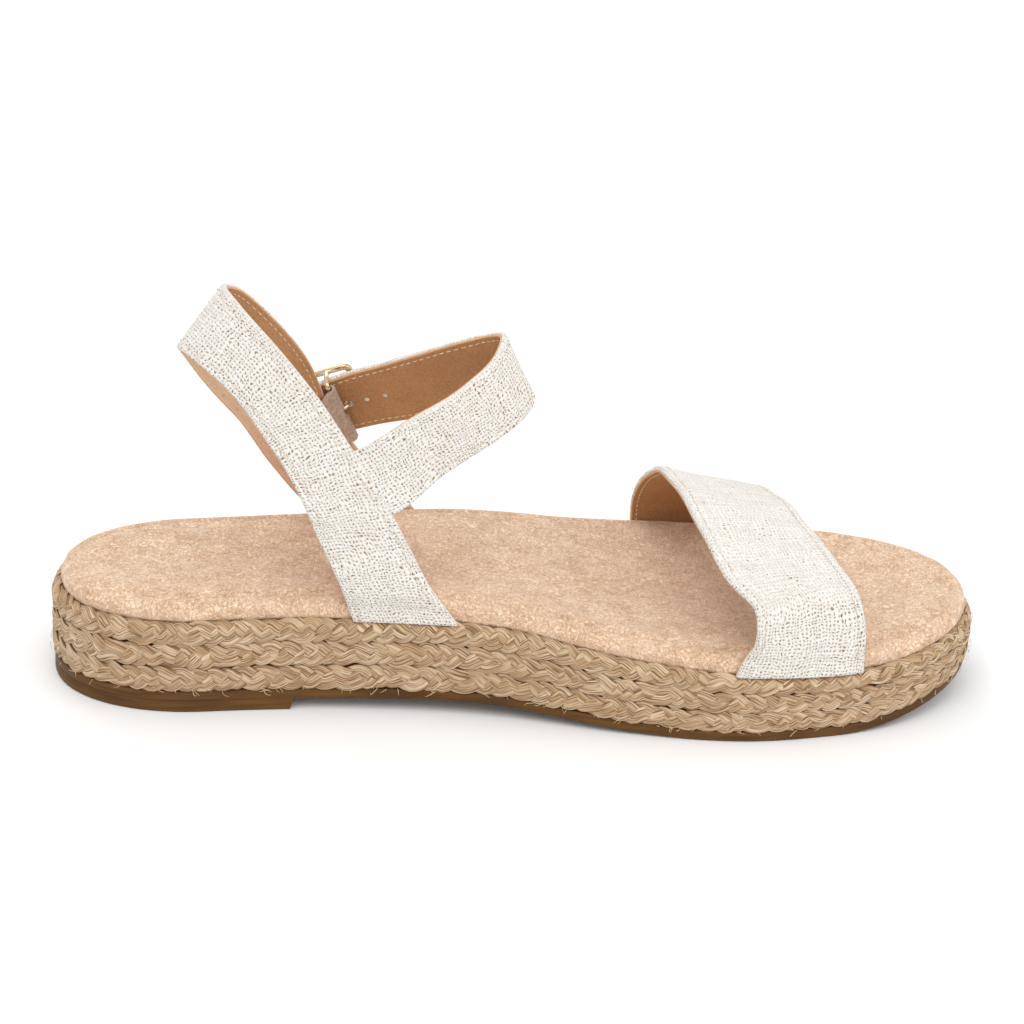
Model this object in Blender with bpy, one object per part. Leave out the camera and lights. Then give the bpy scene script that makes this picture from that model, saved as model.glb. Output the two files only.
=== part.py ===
"""Espadrille wedge sandal, left shoe, standing empty on its sole.

A woven-jute wedge on a rubber outsole carries a padded footbed. The upper is a band over the ball of the
foot and a quarter: a heel strap with an ankle strap sewn into its inner side, closed by a buckle on the
outer side. X runs from heel to toe, Y to the outer (lateral) side, Z up. Tables and sizes are in
millimetres, with X counted from the back of the heel; meshes are made in metres.
"""

import math
from collections import namedtuple

import bmesh
import bpy
import numpy as np

MM = 0.001
GAP = 0.3

# Sole: one row for each section across the shoe, as a share of its length
LENGTH = 250.0
Section = namedtuple("Section", "station half_width centre sheet_bottom jute_top")
SECTIONS = (
    Section(0.00, 29.5, 5.0, 3.2, 25.3),
    Section(0.12, 29.6, 5.6, 3.2, 25.4),
    Section(0.28, 30.4, 6.0, 3.4, 25.9),
    Section(0.45, 34.4, 3.2, 3.9, 26.0),
    Section(0.60, 42.0, -0.8, 0.9, 20.8),
    Section(0.72, 45.0, -3.1, -0.6, 18.6),
    Section(0.85, 41.4, -4.2, 0.6, 18.5),
    Section(1.00, 35.0, -7.4, 8.2, 22.4),
)
HEEL_ROUNDING = (38.0, 2.1)
TOE_ROUNDING = (47.0, 2.2)
RING_POINTS = 80

SHEET_THICKNESS = 3.0
OUTSOLE_INSET = 0.9
OUTSOLE_EDGE = 0.6
LIFT_LENGTH = 61.7
LIFT_INSET = 1.2

BRAID_ROWS = 3
BRAID_RELIEF = 1.3
RINGS_PER_BRAID = 5

FOOTBED_INSET = 2.8
FOOTBED_DISH = 1.2
FOOTBED_COLUMNS = 8
Edge = namedtuple("Edge", "inset height")
FOOTBED_EDGE = (
    Edge(0.9, 0.0),
    Edge(0.0, 1.0),
    Edge(0.0, 2.8),
    Edge(0.8, 4.2),
    Edge(2.6, 5.1),
    Edge(6.0, 5.6),
)

# Straps: one row for each section or fold, as its two edges
STRAP_THICKNESS = 2.0
STRAP_INSET = FOOTBED_INSET - GAP - STRAP_THICKNESS / 2
SEAT_RISES = (0.0, 4.4)
VAMP_RINGS = 36
HEEL_STRAP_RINGS = 68
ANKLE_STRAP_RINGS = 68
TAB_RINGS = 30
Fold = namedtuple("Fold", "lower upper bow", defaults=(0.0,))

VAMP_SEATS = {"medial": (174.8, 210.0), "lateral": (164.5, 197.0)}
VAMP_FOLDS = (
    Fold((178.4, -47.6, 29.5), (208.8, -45.0, 31.5)),
    Fold((176.2, -45.4, 38.0), (206.4, -42.4, 40.5)),
    Fold((171.0, -38.0, 44.6), (202.4, -35.5, 45.8)),
    Fold((167.8, -26.0, 50.2), (199.2, -25.0, 48.4)),
    Fold((165.4, -13.0, 54.2), (196.8, -12.0, 49.8)),
    Fold((163.8, 0.0, 55.2), (195.2, 0.5, 48.6)),
    Fold((163.2, 13.0, 51.8), (194.2, 12.5, 45.2)),
    Fold((163.0, 24.8, 44.0), (193.8, 23.0, 39.8)),
    Fold((163.2, 34.2, 36.0), (194.2, 31.2, 34.0)),
    Fold((163.8, 39.4, 28.8), (195.4, 36.0, 28.2)),
)

HEEL_SEATS = {"medial": (77.0, 104.0), "lateral": (72.4, 103.4)}
HEEL_FOLDS = (
    Fold((73.4, -25.6, 36.5), (96.6, -26.6, 37.0)),
    Fold((66.8, -23.6, 51.0), (88.4, -24.8, 52.5)),
    Fold((60.8, -20.4, 64.0), (78.2, -21.8, 69.5)),
    Fold((53.1, -16.6, 76.0), (66.6, -17.8, 87.0)),
    Fold((44.7, -12.0, 86.4), (55.7, -12.8, 99.6)),
    Fold((36.6, -7.0, 92.4), (47.0, -7.2, 108.2)),
    Fold((32.6, 0.2, 93.2), (44.2, 0.2, 110.2)),
    Fold((35.2, 6.8, 87.0), (48.6, 7.4, 106.8)),
    Fold((41.6, 11.2, 77.0), (58.8, 12.0, 96.0)),
    Fold((50.0, 16.2, 65.6), (67.6, 17.0, 83.2)),
    Fold((57.4, 22.6, 52.6), (74.4, 22.6, 67.4)),
    Fold((64.8, 29.8, 40.6), (83.8, 29.8, 51.4)),
    Fold((69.2, 34.0, 33.8), (95.0, 35.6, 38.2)),
)

# The ankle strap's root lies inside the heel strap's wall: share of the strap's length, share of its width
Root = namedtuple("Root", "lower_run upper_run across thickness")
ANKLE_ROOTS = (
    Root(0.164, 0.250, 0.35, 1.0),
    Root(0.164, 0.250, 0.70, 1.2),
)
ANKLE_FOLDS = (
    Fold((101.2, -17.2, 66.2), (91.2, -21.4, 83.2)),
    Fold((114.4, -10.8, 71.8), (104.6, -13.8, 88.2)),
    Fold((123.2, -5.0, 76.6), (114.2, -6.0, 94.6)),
    Fold((125.2, 0.6, 78.0), (116.2, 0.6, 96.4)),
    Fold((122.8, 6.6, 76.2), (113.8, 6.4, 94.4)),
    Fold((111.2, 13.2, 70.8), (103.2, 11.4, 89.4)),
    Fold((97.6, 22.4, 64.0), (89.8, 18.0, 82.2)),
    Fold((84.4, 29.6, 58.2), (76.6, 23.8, 75.6)),
    Fold((73.8, 31.7, 54.4), (65.6, 24.7, 70.6)),
    Fold((65.6, 31.2, 51.3), (56.8, 23.6, 67.2)),
)
ANKLE_TIP = (Fold((61.6, 29.8, 52.2), (54.4, 23.8, 64.2)), Fold((57.2, 27.4, 55.0), (53.8, 24.6, 60.4)))
BUCKLE_FOLD = len(ANKLE_ROOTS) + 7
HOLE_RADIUS = 0.65
HOLE_PITCH = 5.6
HOLES_FORWARD = 2
HOLES_BACK = 2

# Buckle: sizes along the strap, across it and out from it
BUCKLE_BACK = 3.0
FRAME_ALONG = 14.0
FRAME_ACROSS = 23.8
FRAME_CORNER = 1.8
FRAME_WIRE = (0.9, 0.7)
FRAME_LIFT = STRAP_THICKNESS / 2 + GAP + FRAME_WIRE[1]
BAR_RADIUS = 0.7
BAR_DROP = 3.7
BAR_BEND = 1.0
PRONG_RADIUS = 0.5
PRONG_EYE = BAR_RADIUS + GAP + PRONG_RADIUS
HOOK_START = 135
PRONG_HOLE = 2.6
PRONG_HOLE_RADIUS = 1.2
TAB_THICKNESS = 0.9
TAB_RUNS = (0.762, 0.842)
TAB_WRAP = BAR_RADIUS + GAP + TAB_THICKNESS / 2
TAB_OFFSET = STRAP_THICKNESS / 2 + 2 * GAP + TAB_THICKNESS / 2
TAB_INNER_SHARES = (-0.2, 0.35, 0.85)
TAB_RETURN = 0.7
TAB_HALF_WIDTH = 9.8
SLOT_SIZE = (7.0, 3.0, 4.6)
SLOT_FLOOR = -0.9

# World place of the heel's back, so that the origin lies under the middle of the shoe's box
HEEL_BACK = (-125.0, 3.2, 0.0)

COLOURS = {
    "rubber": ((0.30, 0.17, 0.08), 0.55, 0.0),
    "jute": ((0.62, 0.46, 0.27), 0.85, 0.0),
    "suede": ((0.72, 0.48, 0.32), 0.95, 0.0),
    "linen": ((0.80, 0.77, 0.71), 0.9, 0.0),
    "chape": ((0.62, 0.50, 0.44), 0.95, 0.0),
    "gold": ((0.83, 0.62, 0.34), 0.2, 1.0),
}


# Curves through tables


def hermite(xs, ys, x):
    """Smooth curve through the points (xs, ys), with the slope at each taken from its neighbours."""
    xs = np.asarray(xs, float)
    ys = np.asarray(ys, float)
    slopes = np.gradient(ys, xs, axis=0)
    i = np.clip(np.searchsorted(xs, x) - 1, 0, len(xs) - 2)
    span = xs[i + 1] - xs[i]
    t = (np.asarray(x, float) - xs[i]) / span
    if ys.ndim > 1:
        span, t = span[..., None], t[..., None]
    rise = ys[i] * (1 + 2 * t) * (1 - t) ** 2 + ys[i + 1] * t * t * (3 - 2 * t)
    lean = slopes[i] * t * (1 - t) ** 2 + slopes[i + 1] * t * t * (t - 1)
    return rise + lean * span


def section(column, x):
    stations = [row.station * LENGTH for row in SECTIONS]
    return hermite(stations, [getattr(row, column) for row in SECTIONS], np.clip(x, 0, LENGTH))


def sheet_bottom(x):
    """Underside of the outsole sheet: raised over the arch and the toe, flat under the ball."""
    return np.maximum(section("sheet_bottom", x), 0.0)


def jute_bottom(x):
    return sheet_bottom(x) + SHEET_THICKNESS + GAP


def jute_top(x):
    return section("jute_top", x)


# The sole's outline


def end_rounding(distance, rounding):
    reach, power = rounding
    inward = np.clip(1 - distance / reach, 0, 1)
    return (1 - inward**power) ** (1 / power)


def outline(inset, count=RING_POINTS):
    """Points round the sole, from the heel along the lateral side to the toe and back."""
    turn = 2 * math.pi * np.arange(count) / count
    x = LENGTH * (1 - np.cos(turn)) / 2
    rounding = end_rounding(x, HEEL_ROUNDING) * end_rounding(LENGTH - x, TOE_ROUNDING)
    side = np.where(np.sin(turn) >= 0, 1.0, -1.0)
    y = section("centre", x) + side * section("half_width", x) * rounding
    points = np.column_stack([x, y])
    along = np.roll(points, -1, 0) - np.roll(points, 1, 0)
    along /= np.linalg.norm(along, axis=1, keepdims=True)
    inward = np.column_stack([along[:, 1], -along[:, 0]])
    return points + inward * inset


def ring(inset, height):
    """A loop of points round the sole at an inset, with its height a function of x."""
    flat = outline(inset)
    return np.column_stack([flat, height(flat[:, 0])])


def edge_y(x, inset, side):
    """Y of the sole's edge at x, on the lateral (+1) or medial (-1) side."""
    flat = outline(inset, 4 * RING_POINTS)
    half = len(flat) // 2
    rows = flat[: half + 1] if side > 0 else flat[half:][::-1]
    return float(np.interp(x, rows[:, 0], rows[:, 1]))


# Meshes


def new_object(name, mesh, material):
    mesh.materials.append(material)
    mesh.shade_smooth()
    mesh.set_sharp_from_angle(angle=math.radians(40))
    thing = bpy.data.objects.new(name, mesh)
    bpy.context.scene.collection.objects.link(thing)
    return thing


def mesh_from(name, points, faces):
    """Closed mesh in metres from points in millimetres, with its faces pointing out."""
    mesh = bpy.data.meshes.new(name)
    mesh.from_pydata([tuple(p) for p in np.asarray(points) * MM], [], faces)
    made = bmesh.new()
    made.from_mesh(mesh)
    bmesh.ops.recalc_face_normals(made, faces=made.faces)
    made.to_mesh(mesh)
    made.free()
    return mesh


def bridged(rings, first=0):
    """Quads between neighbouring loops of the same length, whose points are numbered on from first."""
    count = len(rings[0])
    faces = []
    for level in range(len(rings) - 1):
        low = first + level * count
        for i in range(count):
            j = (i + 1) % count
            faces.append((low + i, low + j, low + count + j, low + count + i))
    return faces


def ladder(first, count):
    """Faces that close a loop across the shoe, joining each lateral point to its medial partner."""
    faces = []
    for i in range(count // 2):
        corners = (i, i + 1, (count - i - 1) % count, (count - i) % count)
        faces.append(tuple(first + c for c in dict.fromkeys(corners)))
    return faces


def stacked(name, rings):
    points = np.concatenate(rings)
    count = len(rings[0])
    faces = bridged(rings) + ladder(0, count) + ladder(len(points) - count, count)
    return mesh_from(name, points, faces)


def boolean(target, tool, operation):
    """Applies a Boolean to target's mesh and removes the tool."""
    modifier = target.modifiers.new(operation.title(), "BOOLEAN")
    modifier.operation = operation
    modifier.solver = "EXACT"
    modifier.object = tool
    graph = bpy.context.evaluated_depsgraph_get()
    mesh = bpy.data.meshes.new_from_object(target.evaluated_get(graph))
    target.modifiers.clear()
    target.data = mesh
    bpy.data.objects.remove(tool)
    mesh.shade_smooth()
    mesh.set_sharp_from_angle(angle=math.radians(40))


# Sole


def build_outsole(material):
    """Rubber sheet that follows the arch and toe spring, with a lift moulded under the heel."""
    rings = [
        ring(OUTSOLE_INSET + OUTSOLE_EDGE, sheet_bottom),
        ring(OUTSOLE_INSET, lambda x: sheet_bottom(x) + OUTSOLE_EDGE),
        ring(OUTSOLE_INSET, lambda x: sheet_bottom(x) + SHEET_THICKNESS),
    ]
    outsole = new_object("outsole", stacked("outsole", rings), material)
    lift = new_object("heel_lift", heel_lift_mesh(), material)
    boolean(outsole, lift, "UNION")
    return outsole


def heel_lift_mesh():
    """Block under the heel, with a straight front face."""
    flat = outline(LIFT_INSET)
    half = RING_POINTS // 2
    lateral = [p for p in flat[:half] if p[0] < LIFT_LENGTH]
    medial = [p for p in flat[half:] if p[0] < LIFT_LENGTH]
    corners = [
        (LIFT_LENGTH, edge_y(LIFT_LENGTH, LIFT_INSET, 1)),
        (LIFT_LENGTH, edge_y(LIFT_LENGTH, LIFT_INSET, -1)),
    ]
    loop = np.concatenate([lateral, corners, medial])
    low = np.column_stack([loop, np.zeros(len(loop))])
    high = np.column_stack([loop, sheet_bottom(loop[:, 0]) + SHEET_THICKNESS / 2])
    count = len(loop)
    faces = bridged([low, high])
    faces += [tuple(range(count)), tuple(range(count, 2 * count))]
    return mesh_from("heel_lift", np.concatenate([low, high]), faces)


def build_jute(material):
    """Wedge wrapped in rows of jute braid, each a rounded rib round the side."""
    levels = BRAID_ROWS * RINGS_PER_BRAID
    rings = []
    for level in range(levels + 1):
        share = level / levels
        swell = abs(math.sin(math.pi * share * BRAID_ROWS)) ** 0.6

        def height(x, share=share):
            return jute_bottom(x) + share * (jute_top(x) - jute_bottom(x))

        rings.append(ring(BRAID_RELIEF * (1 - swell), height))
    return new_object("jute_midsole", stacked("jute_midsole", rings), material)


def build_footbed(material):
    """Padded insole with a rolled edge and a shallow dish along its middle."""
    rings = []
    for edge in FOOTBED_EDGE:
        rings.append(ring(FOOTBED_INSET + edge.inset, lambda x, edge=edge: jute_top(x) + GAP + edge.height))
    points = list(np.concatenate(rings))
    count = RING_POINTS
    rim = len(points) - count
    half = count // 2
    grid = {}
    for i in range(half + 1):
        lateral, medial = rim + i, rim + (count - i) % count
        for column in range(FOOTBED_COLUMNS + 1):
            share = column / FOOTBED_COLUMNS
            if share in (0.0, 1.0) or lateral == medial:
                grid[i, column] = medial if share > 0 else lateral
                continue
            point = points[lateral] * (1 - share) + points[medial] * share
            width = np.linalg.norm(points[lateral] - points[medial]) / LENGTH
            dip = FOOTBED_DISH * math.sin(math.pi * share) ** 2 * min(1.0, 5 * width)
            grid[i, column] = len(points)
            points.append(point - np.array([0, 0, dip]))
    faces = bridged(rings) + ladder(0, count)
    for i in range(half):
        for column in range(FOOTBED_COLUMNS):
            corners = (grid[i, column], grid[i + 1, column], grid[i + 1, column + 1], grid[i, column + 1])
            corners = tuple(dict.fromkeys(corners))
            if len(corners) > 2:
                faces.append(corners)
    return new_object("footbed", mesh_from("footbed", points, faces), material)


# Straps


def seat_end(x, fold_end, side, rise):
    """One edge of a strap beside the footbed, at a rise above the seam, on its way to the nearest fold."""
    seam = float(jute_top(x)) + GAP
    share = rise / (fold_end[2] - seam)
    leaning_x = x + share * (fold_end[0] - x)
    return (leaning_x, edge_y(leaning_x, STRAP_INSET, side), seam + rise)


def seat(xs, fold, side, rise):
    """A strap's fold beside the footbed, bowed outward to follow the sole's outline."""
    lower = seat_end(xs[0], fold.lower, side, rise)
    upper = seat_end(xs[1], fold.upper, side, rise)
    middle = edge_y((lower[0] + upper[0]) / 2, STRAP_INSET, side)
    return Fold(lower, upper, side * (middle - (lower[1] + upper[1]) / 2))


def seated(seats, folds):
    """Adds the folds at both ends, where a strap stands up from the seam of footbed and jute."""
    inner = [seat(seats["medial"], folds[0], -1, rise) for rise in SEAT_RISES]
    outer = [seat(seats["lateral"], folds[-1], 1, rise) for rise in SEAT_RISES]
    return (*inner, *folds, *outer[::-1])


class Ribbon:
    """A strap's middle surface through its folds. run goes from 0 to 1 along it, across from -1 to 1."""

    def __init__(self, folds, outside=1):
        self.outside = outside
        self.lower = np.array([fold.lower for fold in folds], float)
        self.upper = np.array([fold.upper for fold in folds], float)
        self.bow = np.array([[fold.bow] for fold in folds], float)
        middle = (self.lower + self.upper) / 2
        steps = np.linalg.norm(np.diff(middle, axis=0), axis=1)
        self.knots = np.concatenate([[0], np.cumsum(steps)])
        self.length = self.knots[-1]

    def edges(self, run):
        at = np.asarray(run, float) * self.length
        return hermite(self.knots, self.lower, at), hermite(self.knots, self.upper, at)

    def point(self, run, across):
        middle, _, half, outward = self.frame(run)
        bow = hermite(self.knots, self.bow, np.asarray(run, float) * self.length)
        return middle + across * half + (1 - across**2) * bow * outward

    def frame(self, run):
        """Middle of the two edges, unit vector along, half the width across, unit vector outward."""
        step = 0.25 / self.length
        lower, upper = self.edges(run)
        ahead = sum(self.edges(np.clip(np.asarray(run) + step, 0, 1))) / 2
        behind = sum(self.edges(np.clip(np.asarray(run) - step, 0, 1))) / 2
        along = ahead - behind
        along /= np.linalg.norm(along, axis=-1, keepdims=True)
        across = (upper - lower) / 2
        outward = self.outside * np.cross(across, along)
        outward /= np.linalg.norm(outward, axis=-1, keepdims=True)
        return (lower + upper) / 2, along, across, outward

    def run_of_fold(self, index):
        return self.knots[index] / self.length


# A strap's section, as shares of its half width and half thickness, once round with softened corners
STRAP_COLUMNS = (-0.97, -0.5, 0.0, 0.5, 0.97)
STRAP_SECTION = (
    (-1, -0.4),
    *((column, -1) for column in STRAP_COLUMNS),
    (1, -0.4),
    (1, 0.4),
    *((column, 1) for column in reversed(STRAP_COLUMNS)),
    (-1, 0.4),
)


def strap_mesh(name, ribbon, count, thickness=None):
    """Closed wall round a ribbon's middle surface, thickness a function of run."""
    runs = np.linspace(0, 1, count)
    half = np.array([[(thickness(r) if thickness else STRAP_THICKNESS) / 2] for r in runs])
    outward = ribbon.frame(runs)[3]
    columns = [ribbon.point(runs, across) + out * half * outward for across, out in STRAP_SECTION]
    rings = np.stack(columns, axis=1)
    sides = len(STRAP_SECTION)
    last = (count - 1) * sides
    faces = bridged(rings)
    faces += [tuple(range(sides)), tuple(range(last, last + sides))]
    return mesh_from(name, np.concatenate(rings), faces)


def heel_ribbon():
    return Ribbon(seated(HEEL_SEATS, HEEL_FOLDS))


def ankle_ribbon():
    heel = heel_ribbon()
    roots = []
    for root in ANKLE_ROOTS:
        roots.append(Fold(heel.point(root.lower_run, root.across), heel.point(root.upper_run, root.across)))
    return Ribbon((*roots, *ANKLE_FOLDS, *ANKLE_TIP), outside=-1)


def ankle_thickness(run):
    """Full thickness outside the heel strap, thinned where the root is sewn between its layers."""
    ribbon = ankle_ribbon()
    runs = [ribbon.run_of_fold(i) for i in range(len(ANKLE_ROOTS) + 1)]
    values = [root.thickness for root in ANKLE_ROOTS] + [STRAP_THICKNESS]
    return float(np.interp(run, runs, values))


def build_vamp(material):
    ribbon = Ribbon(seated(VAMP_SEATS, VAMP_FOLDS))
    return new_object("vamp_strap", strap_mesh("vamp_strap", ribbon, VAMP_RINGS), material)


def build_quarter(material):
    """Heel strap and ankle strap as one wall, joined where they cross on the medial side."""
    heel_wall = strap_mesh("quarter_straps", heel_ribbon(), HEEL_STRAP_RINGS)
    quarter = new_object("quarter_straps", heel_wall, material)
    ankle_wall = strap_mesh("ankle_strap", ankle_ribbon(), ANKLE_STRAP_RINGS, ankle_thickness)
    boolean(quarter, new_object("ankle_strap", ankle_wall, material), "UNION")
    for index in range(-HOLES_BACK, HOLES_FORWARD + 1):
        radius = HOLE_RADIUS if index else PRONG_HOLE_RADIUS
        boolean(quarter, hole_cutter(PRONG_HOLE + index * HOLE_PITCH, radius), "DIFFERENCE")
    return quarter


# Buckle


def buckle_axes(offset=0.0):
    """(centre, forward, up, outward) on the ankle strap, offset forward of the buckle's bar."""
    ribbon = ankle_ribbon()
    run = ribbon.run_of_fold(BUCKLE_FOLD) + (BUCKLE_BACK - offset) / ribbon.length
    middle, _, across, outward = ribbon.frame(run)
    up = across / np.linalg.norm(across)
    return middle, np.cross(outward, up), up, outward


def in_buckle(points, offset=0.0):
    """Turns (forward, up, outward) triples at the buckle into the shoe's frame."""
    centre, forward, up, outward = buckle_axes(offset)
    return np.asarray(points, float) @ np.array([forward, up, outward]) + centre


def tube(name, path, radii, flat_normal, sides=8, closed=False):
    """Round or oval wire along a path. radii are across the path, square to flat_normal and along it."""
    path = np.asarray(path, float)
    if closed:
        along = np.roll(path, -1, 0) - np.roll(path, 1, 0)
    else:
        along = np.gradient(path, axis=0)
    turn = 2 * math.pi * (np.arange(sides) + 0.5) / sides
    rings = []
    for point, ahead in zip(path, along):
        side = np.cross(ahead, flat_normal)
        side /= np.linalg.norm(side)
        rise = np.cross(side, ahead / np.linalg.norm(ahead))
        oval = np.outer(np.cos(turn) * radii[0], side) + np.outer(np.sin(turn) * radii[1], rise)
        rings.append(point + oval)
    faces = bridged(rings)
    last = (len(path) - 1) * sides
    if closed:
        faces += [(last + i, last + (i + 1) % sides, (i + 1) % sides, i) for i in range(sides)]
    else:
        faces += [tuple(range(sides)), tuple(range(last, last + sides))]
    return mesh_from(name, np.concatenate(rings), faces)


def rounded_rectangle(width, height, radius, arc_steps=4):
    points = []
    for quarter, (sx, sy) in enumerate(((1, 1), (-1, 1), (-1, -1), (1, -1))):
        for step in range(arc_steps + 1):
            angle = math.pi / 2 * (quarter + step / arc_steps)
            x = sx * (width / 2 - radius) + radius * math.cos(angle)
            y = sy * (height / 2 - radius) + radius * math.sin(angle)
            points.append((x, y, FRAME_LIFT))
    return points


def bar_path():
    """The bar's line: from one short side of the frame down, under the strap, and up to the other side."""
    reach = FRAME_ACROSS / 2 - FRAME_WIRE[0]
    half = [(0.0, reach, FRAME_LIFT)]
    for step in range(4):
        angle = math.pi / 2 * step / 3
        across = reach - BAR_BEND * (1 - math.cos(angle))
        half.append((0.0, across, BAR_BEND * (1 - math.sin(angle)) - BAR_DROP))
    return half + [(x, -y, z) for x, y, z in reversed(half)]


def build_frame(material):
    """Rectangular frame on the strap's outer face, with a bar under the strap joined to its short sides."""
    _, forward, _, outward = buckle_axes()
    loop = rounded_rectangle(FRAME_ALONG - 2 * FRAME_WIRE[0], FRAME_ACROSS - 2 * FRAME_WIRE[0], FRAME_CORNER)
    rim = tube("buckle_frame", in_buckle(loop), FRAME_WIRE, outward, closed=True)
    frame = new_object("buckle_frame", rim, material)
    bar = tube("buckle_bar", in_buckle(bar_path()), (BAR_RADIUS, BAR_RADIUS), forward)
    boolean(frame, new_object("buckle_bar", bar, material), "UNION")
    return frame


def prong_path():
    """The prong's line: hooked on the bar, out through the strap's hole and onto the frame's front."""
    points = []
    for degrees in range(HOOK_START, 89, -15):
        angle = math.radians(degrees)
        points.append((PRONG_EYE * math.cos(angle), 0.0, PRONG_EYE * math.sin(angle) - BAR_DROP))
    under = points[-1][2]
    rest = FRAME_LIFT + FRAME_WIRE[1] + GAP + PRONG_RADIUS
    front = FRAME_ALONG / 2 - FRAME_WIRE[0]
    points += [
        (PRONG_HOLE - 1.7, 0.0, under + 0.1),
        (PRONG_HOLE - 0.4, 0.0, -1.3),
        (PRONG_HOLE, 0.0, 0.2),
        (PRONG_HOLE + 0.3, 0.0, 1.8),
        (PRONG_HOLE + 1.1, 0.0, rest - 0.9),
        (front - 0.9, 0.0, rest - 0.1),
        (front - 0.1, 0.0, rest),
    ]
    return points


def build_prong(material):
    _, _, up, _ = buckle_axes()
    wire = tube("buckle_prong", in_buckle(prong_path()), (PRONG_RADIUS, PRONG_RADIUS), up, sides=6)
    return new_object("buckle_prong", wire, material)


def hole_cutter(offset, radius):
    """Punch through the ankle strap, offset forward of the buckle's bar."""
    _, forward, _, _ = buckle_axes(offset)
    mesh = tube("punch", in_buckle([(0, 0, -3.0), (0, 0, 3.0)], offset), (radius, radius), forward)
    return new_object("punch", mesh, bpy.data.materials["linen"])


def tab_folds():
    """The suede tab's line: inside the heel strap, forward round the bar, and back to the strap."""
    heel = heel_ribbon()
    low_run, high_run = max(TAB_RUNS), min(TAB_RUNS)

    def on_strap(share):
        inside = [heel.point(run, share) - TAB_OFFSET * heel.frame(run)[3] for run in (low_run, high_run)]
        return Fold(*inside)

    def at_bar(forward, out):
        return Fold(*in_buckle([(forward, -TAB_HALF_WIDTH, out), (forward, TAB_HALF_WIDTH, out)]))

    def on_bar(degrees):
        angle = math.radians(degrees)
        return at_bar(TAB_WRAP * math.cos(angle), TAB_WRAP * math.sin(angle) - BAR_DROP)

    inner = [on_strap(share) for share in TAB_INNER_SHARES]
    wrap = [on_bar(degrees) for degrees in (-90, -45, 0, 45, 90)]
    return (*inner, *wrap, at_bar(-TAB_RETURN, TAB_WRAP - BAR_DROP))


def build_tab(material):
    """Suede tab that holds the buckle's bar to the heel strap, slotted on its outer layer for the prong."""
    wall = strap_mesh("buckle_tab", Ribbon(tab_folds()), TAB_RINGS, lambda run: TAB_THICKNESS)
    tab = new_object("buckle_tab", wall, material)
    corners = []
    for forward in (-SLOT_SIZE[0] / 2, SLOT_SIZE[0] / 2):
        for up in (-SLOT_SIZE[1] / 2, SLOT_SIZE[1] / 2):
            for out in (SLOT_FLOOR, SLOT_FLOOR + SLOT_SIZE[2]):
                corners.append((forward, up, out - BAR_DROP))
    sides = [(0, 1, 3, 2), (4, 6, 7, 5), (0, 4, 5, 1), (2, 3, 7, 6), (0, 2, 6, 4), (1, 5, 7, 3)]
    slot = new_object("slot", mesh_from("slot", in_buckle(corners), sides), material)
    boolean(tab, slot, "DIFFERENCE")
    return tab


# Assembly


def new_material(name):
    colour, roughness, metallic = COLOURS[name]
    material = bpy.data.materials.new(name)
    material.use_nodes = True
    shader = material.node_tree.nodes["Principled BSDF"]
    shader.inputs["Base Color"].default_value = (*colour, 1.0)
    shader.inputs["Roughness"].default_value = roughness
    shader.inputs["Metallic"].default_value = metallic
    return material


def main():
    for thing in list(bpy.data.objects):
        bpy.data.objects.remove(thing)
    materials = {name: new_material(name) for name in COLOURS}
    pieces = [
        build_outsole(materials["rubber"]),
        build_jute(materials["jute"]),
        build_footbed(materials["suede"]),
        build_vamp(materials["linen"]),
        build_quarter(materials["linen"]),
        build_frame(materials["gold"]),
        build_prong(materials["gold"]),
        build_tab(materials["chape"]),
    ]
    shoe = bpy.data.objects.new("shoe", None)
    bpy.context.scene.collection.objects.link(shoe)
    shoe.location = [c * MM for c in HEEL_BACK]
    for piece in pieces:
        piece.parent = shoe


main()
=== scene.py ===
"""Looks of the espadrille wedge sandal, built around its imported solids.

Each piece repeats the form of the solid that it replaces, from the same tables, and adds what the solid
leaves out: plaited jute, woven linen, stitching, suede nap and polished gold. X runs from heel to toe, Y to
the outer (lateral) side, Z up. Tables are in millimetres, with X counted from the back of the heel. Meshes
are in metres.
"""

import math
from collections import namedtuple

import bmesh
import bpy
import numpy as np
from mathutils import Matrix, Quaternion, Vector


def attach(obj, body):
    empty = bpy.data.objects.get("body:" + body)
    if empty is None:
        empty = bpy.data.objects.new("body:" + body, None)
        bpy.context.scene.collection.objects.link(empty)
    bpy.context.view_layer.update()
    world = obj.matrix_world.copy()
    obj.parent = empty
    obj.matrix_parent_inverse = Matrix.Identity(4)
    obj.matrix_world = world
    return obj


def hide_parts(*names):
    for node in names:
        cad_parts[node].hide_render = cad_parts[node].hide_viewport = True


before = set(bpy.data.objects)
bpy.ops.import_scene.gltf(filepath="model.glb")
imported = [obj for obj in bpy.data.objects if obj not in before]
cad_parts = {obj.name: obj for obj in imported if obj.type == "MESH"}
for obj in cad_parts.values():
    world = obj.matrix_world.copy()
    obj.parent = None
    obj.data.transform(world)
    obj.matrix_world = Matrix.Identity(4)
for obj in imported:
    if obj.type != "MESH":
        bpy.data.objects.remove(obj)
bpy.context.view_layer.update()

MM = 0.001

# The air between neighbouring parts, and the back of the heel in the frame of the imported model
GAP = 0.3
HEEL_BACK = (-125.0, 3.2, 0.0)

# A seeded wobble, summed from a few waves: about how long they are, and how far it goes
Wobble = namedtuple("Wobble", "wavelength size")
WAVES = 7

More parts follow.
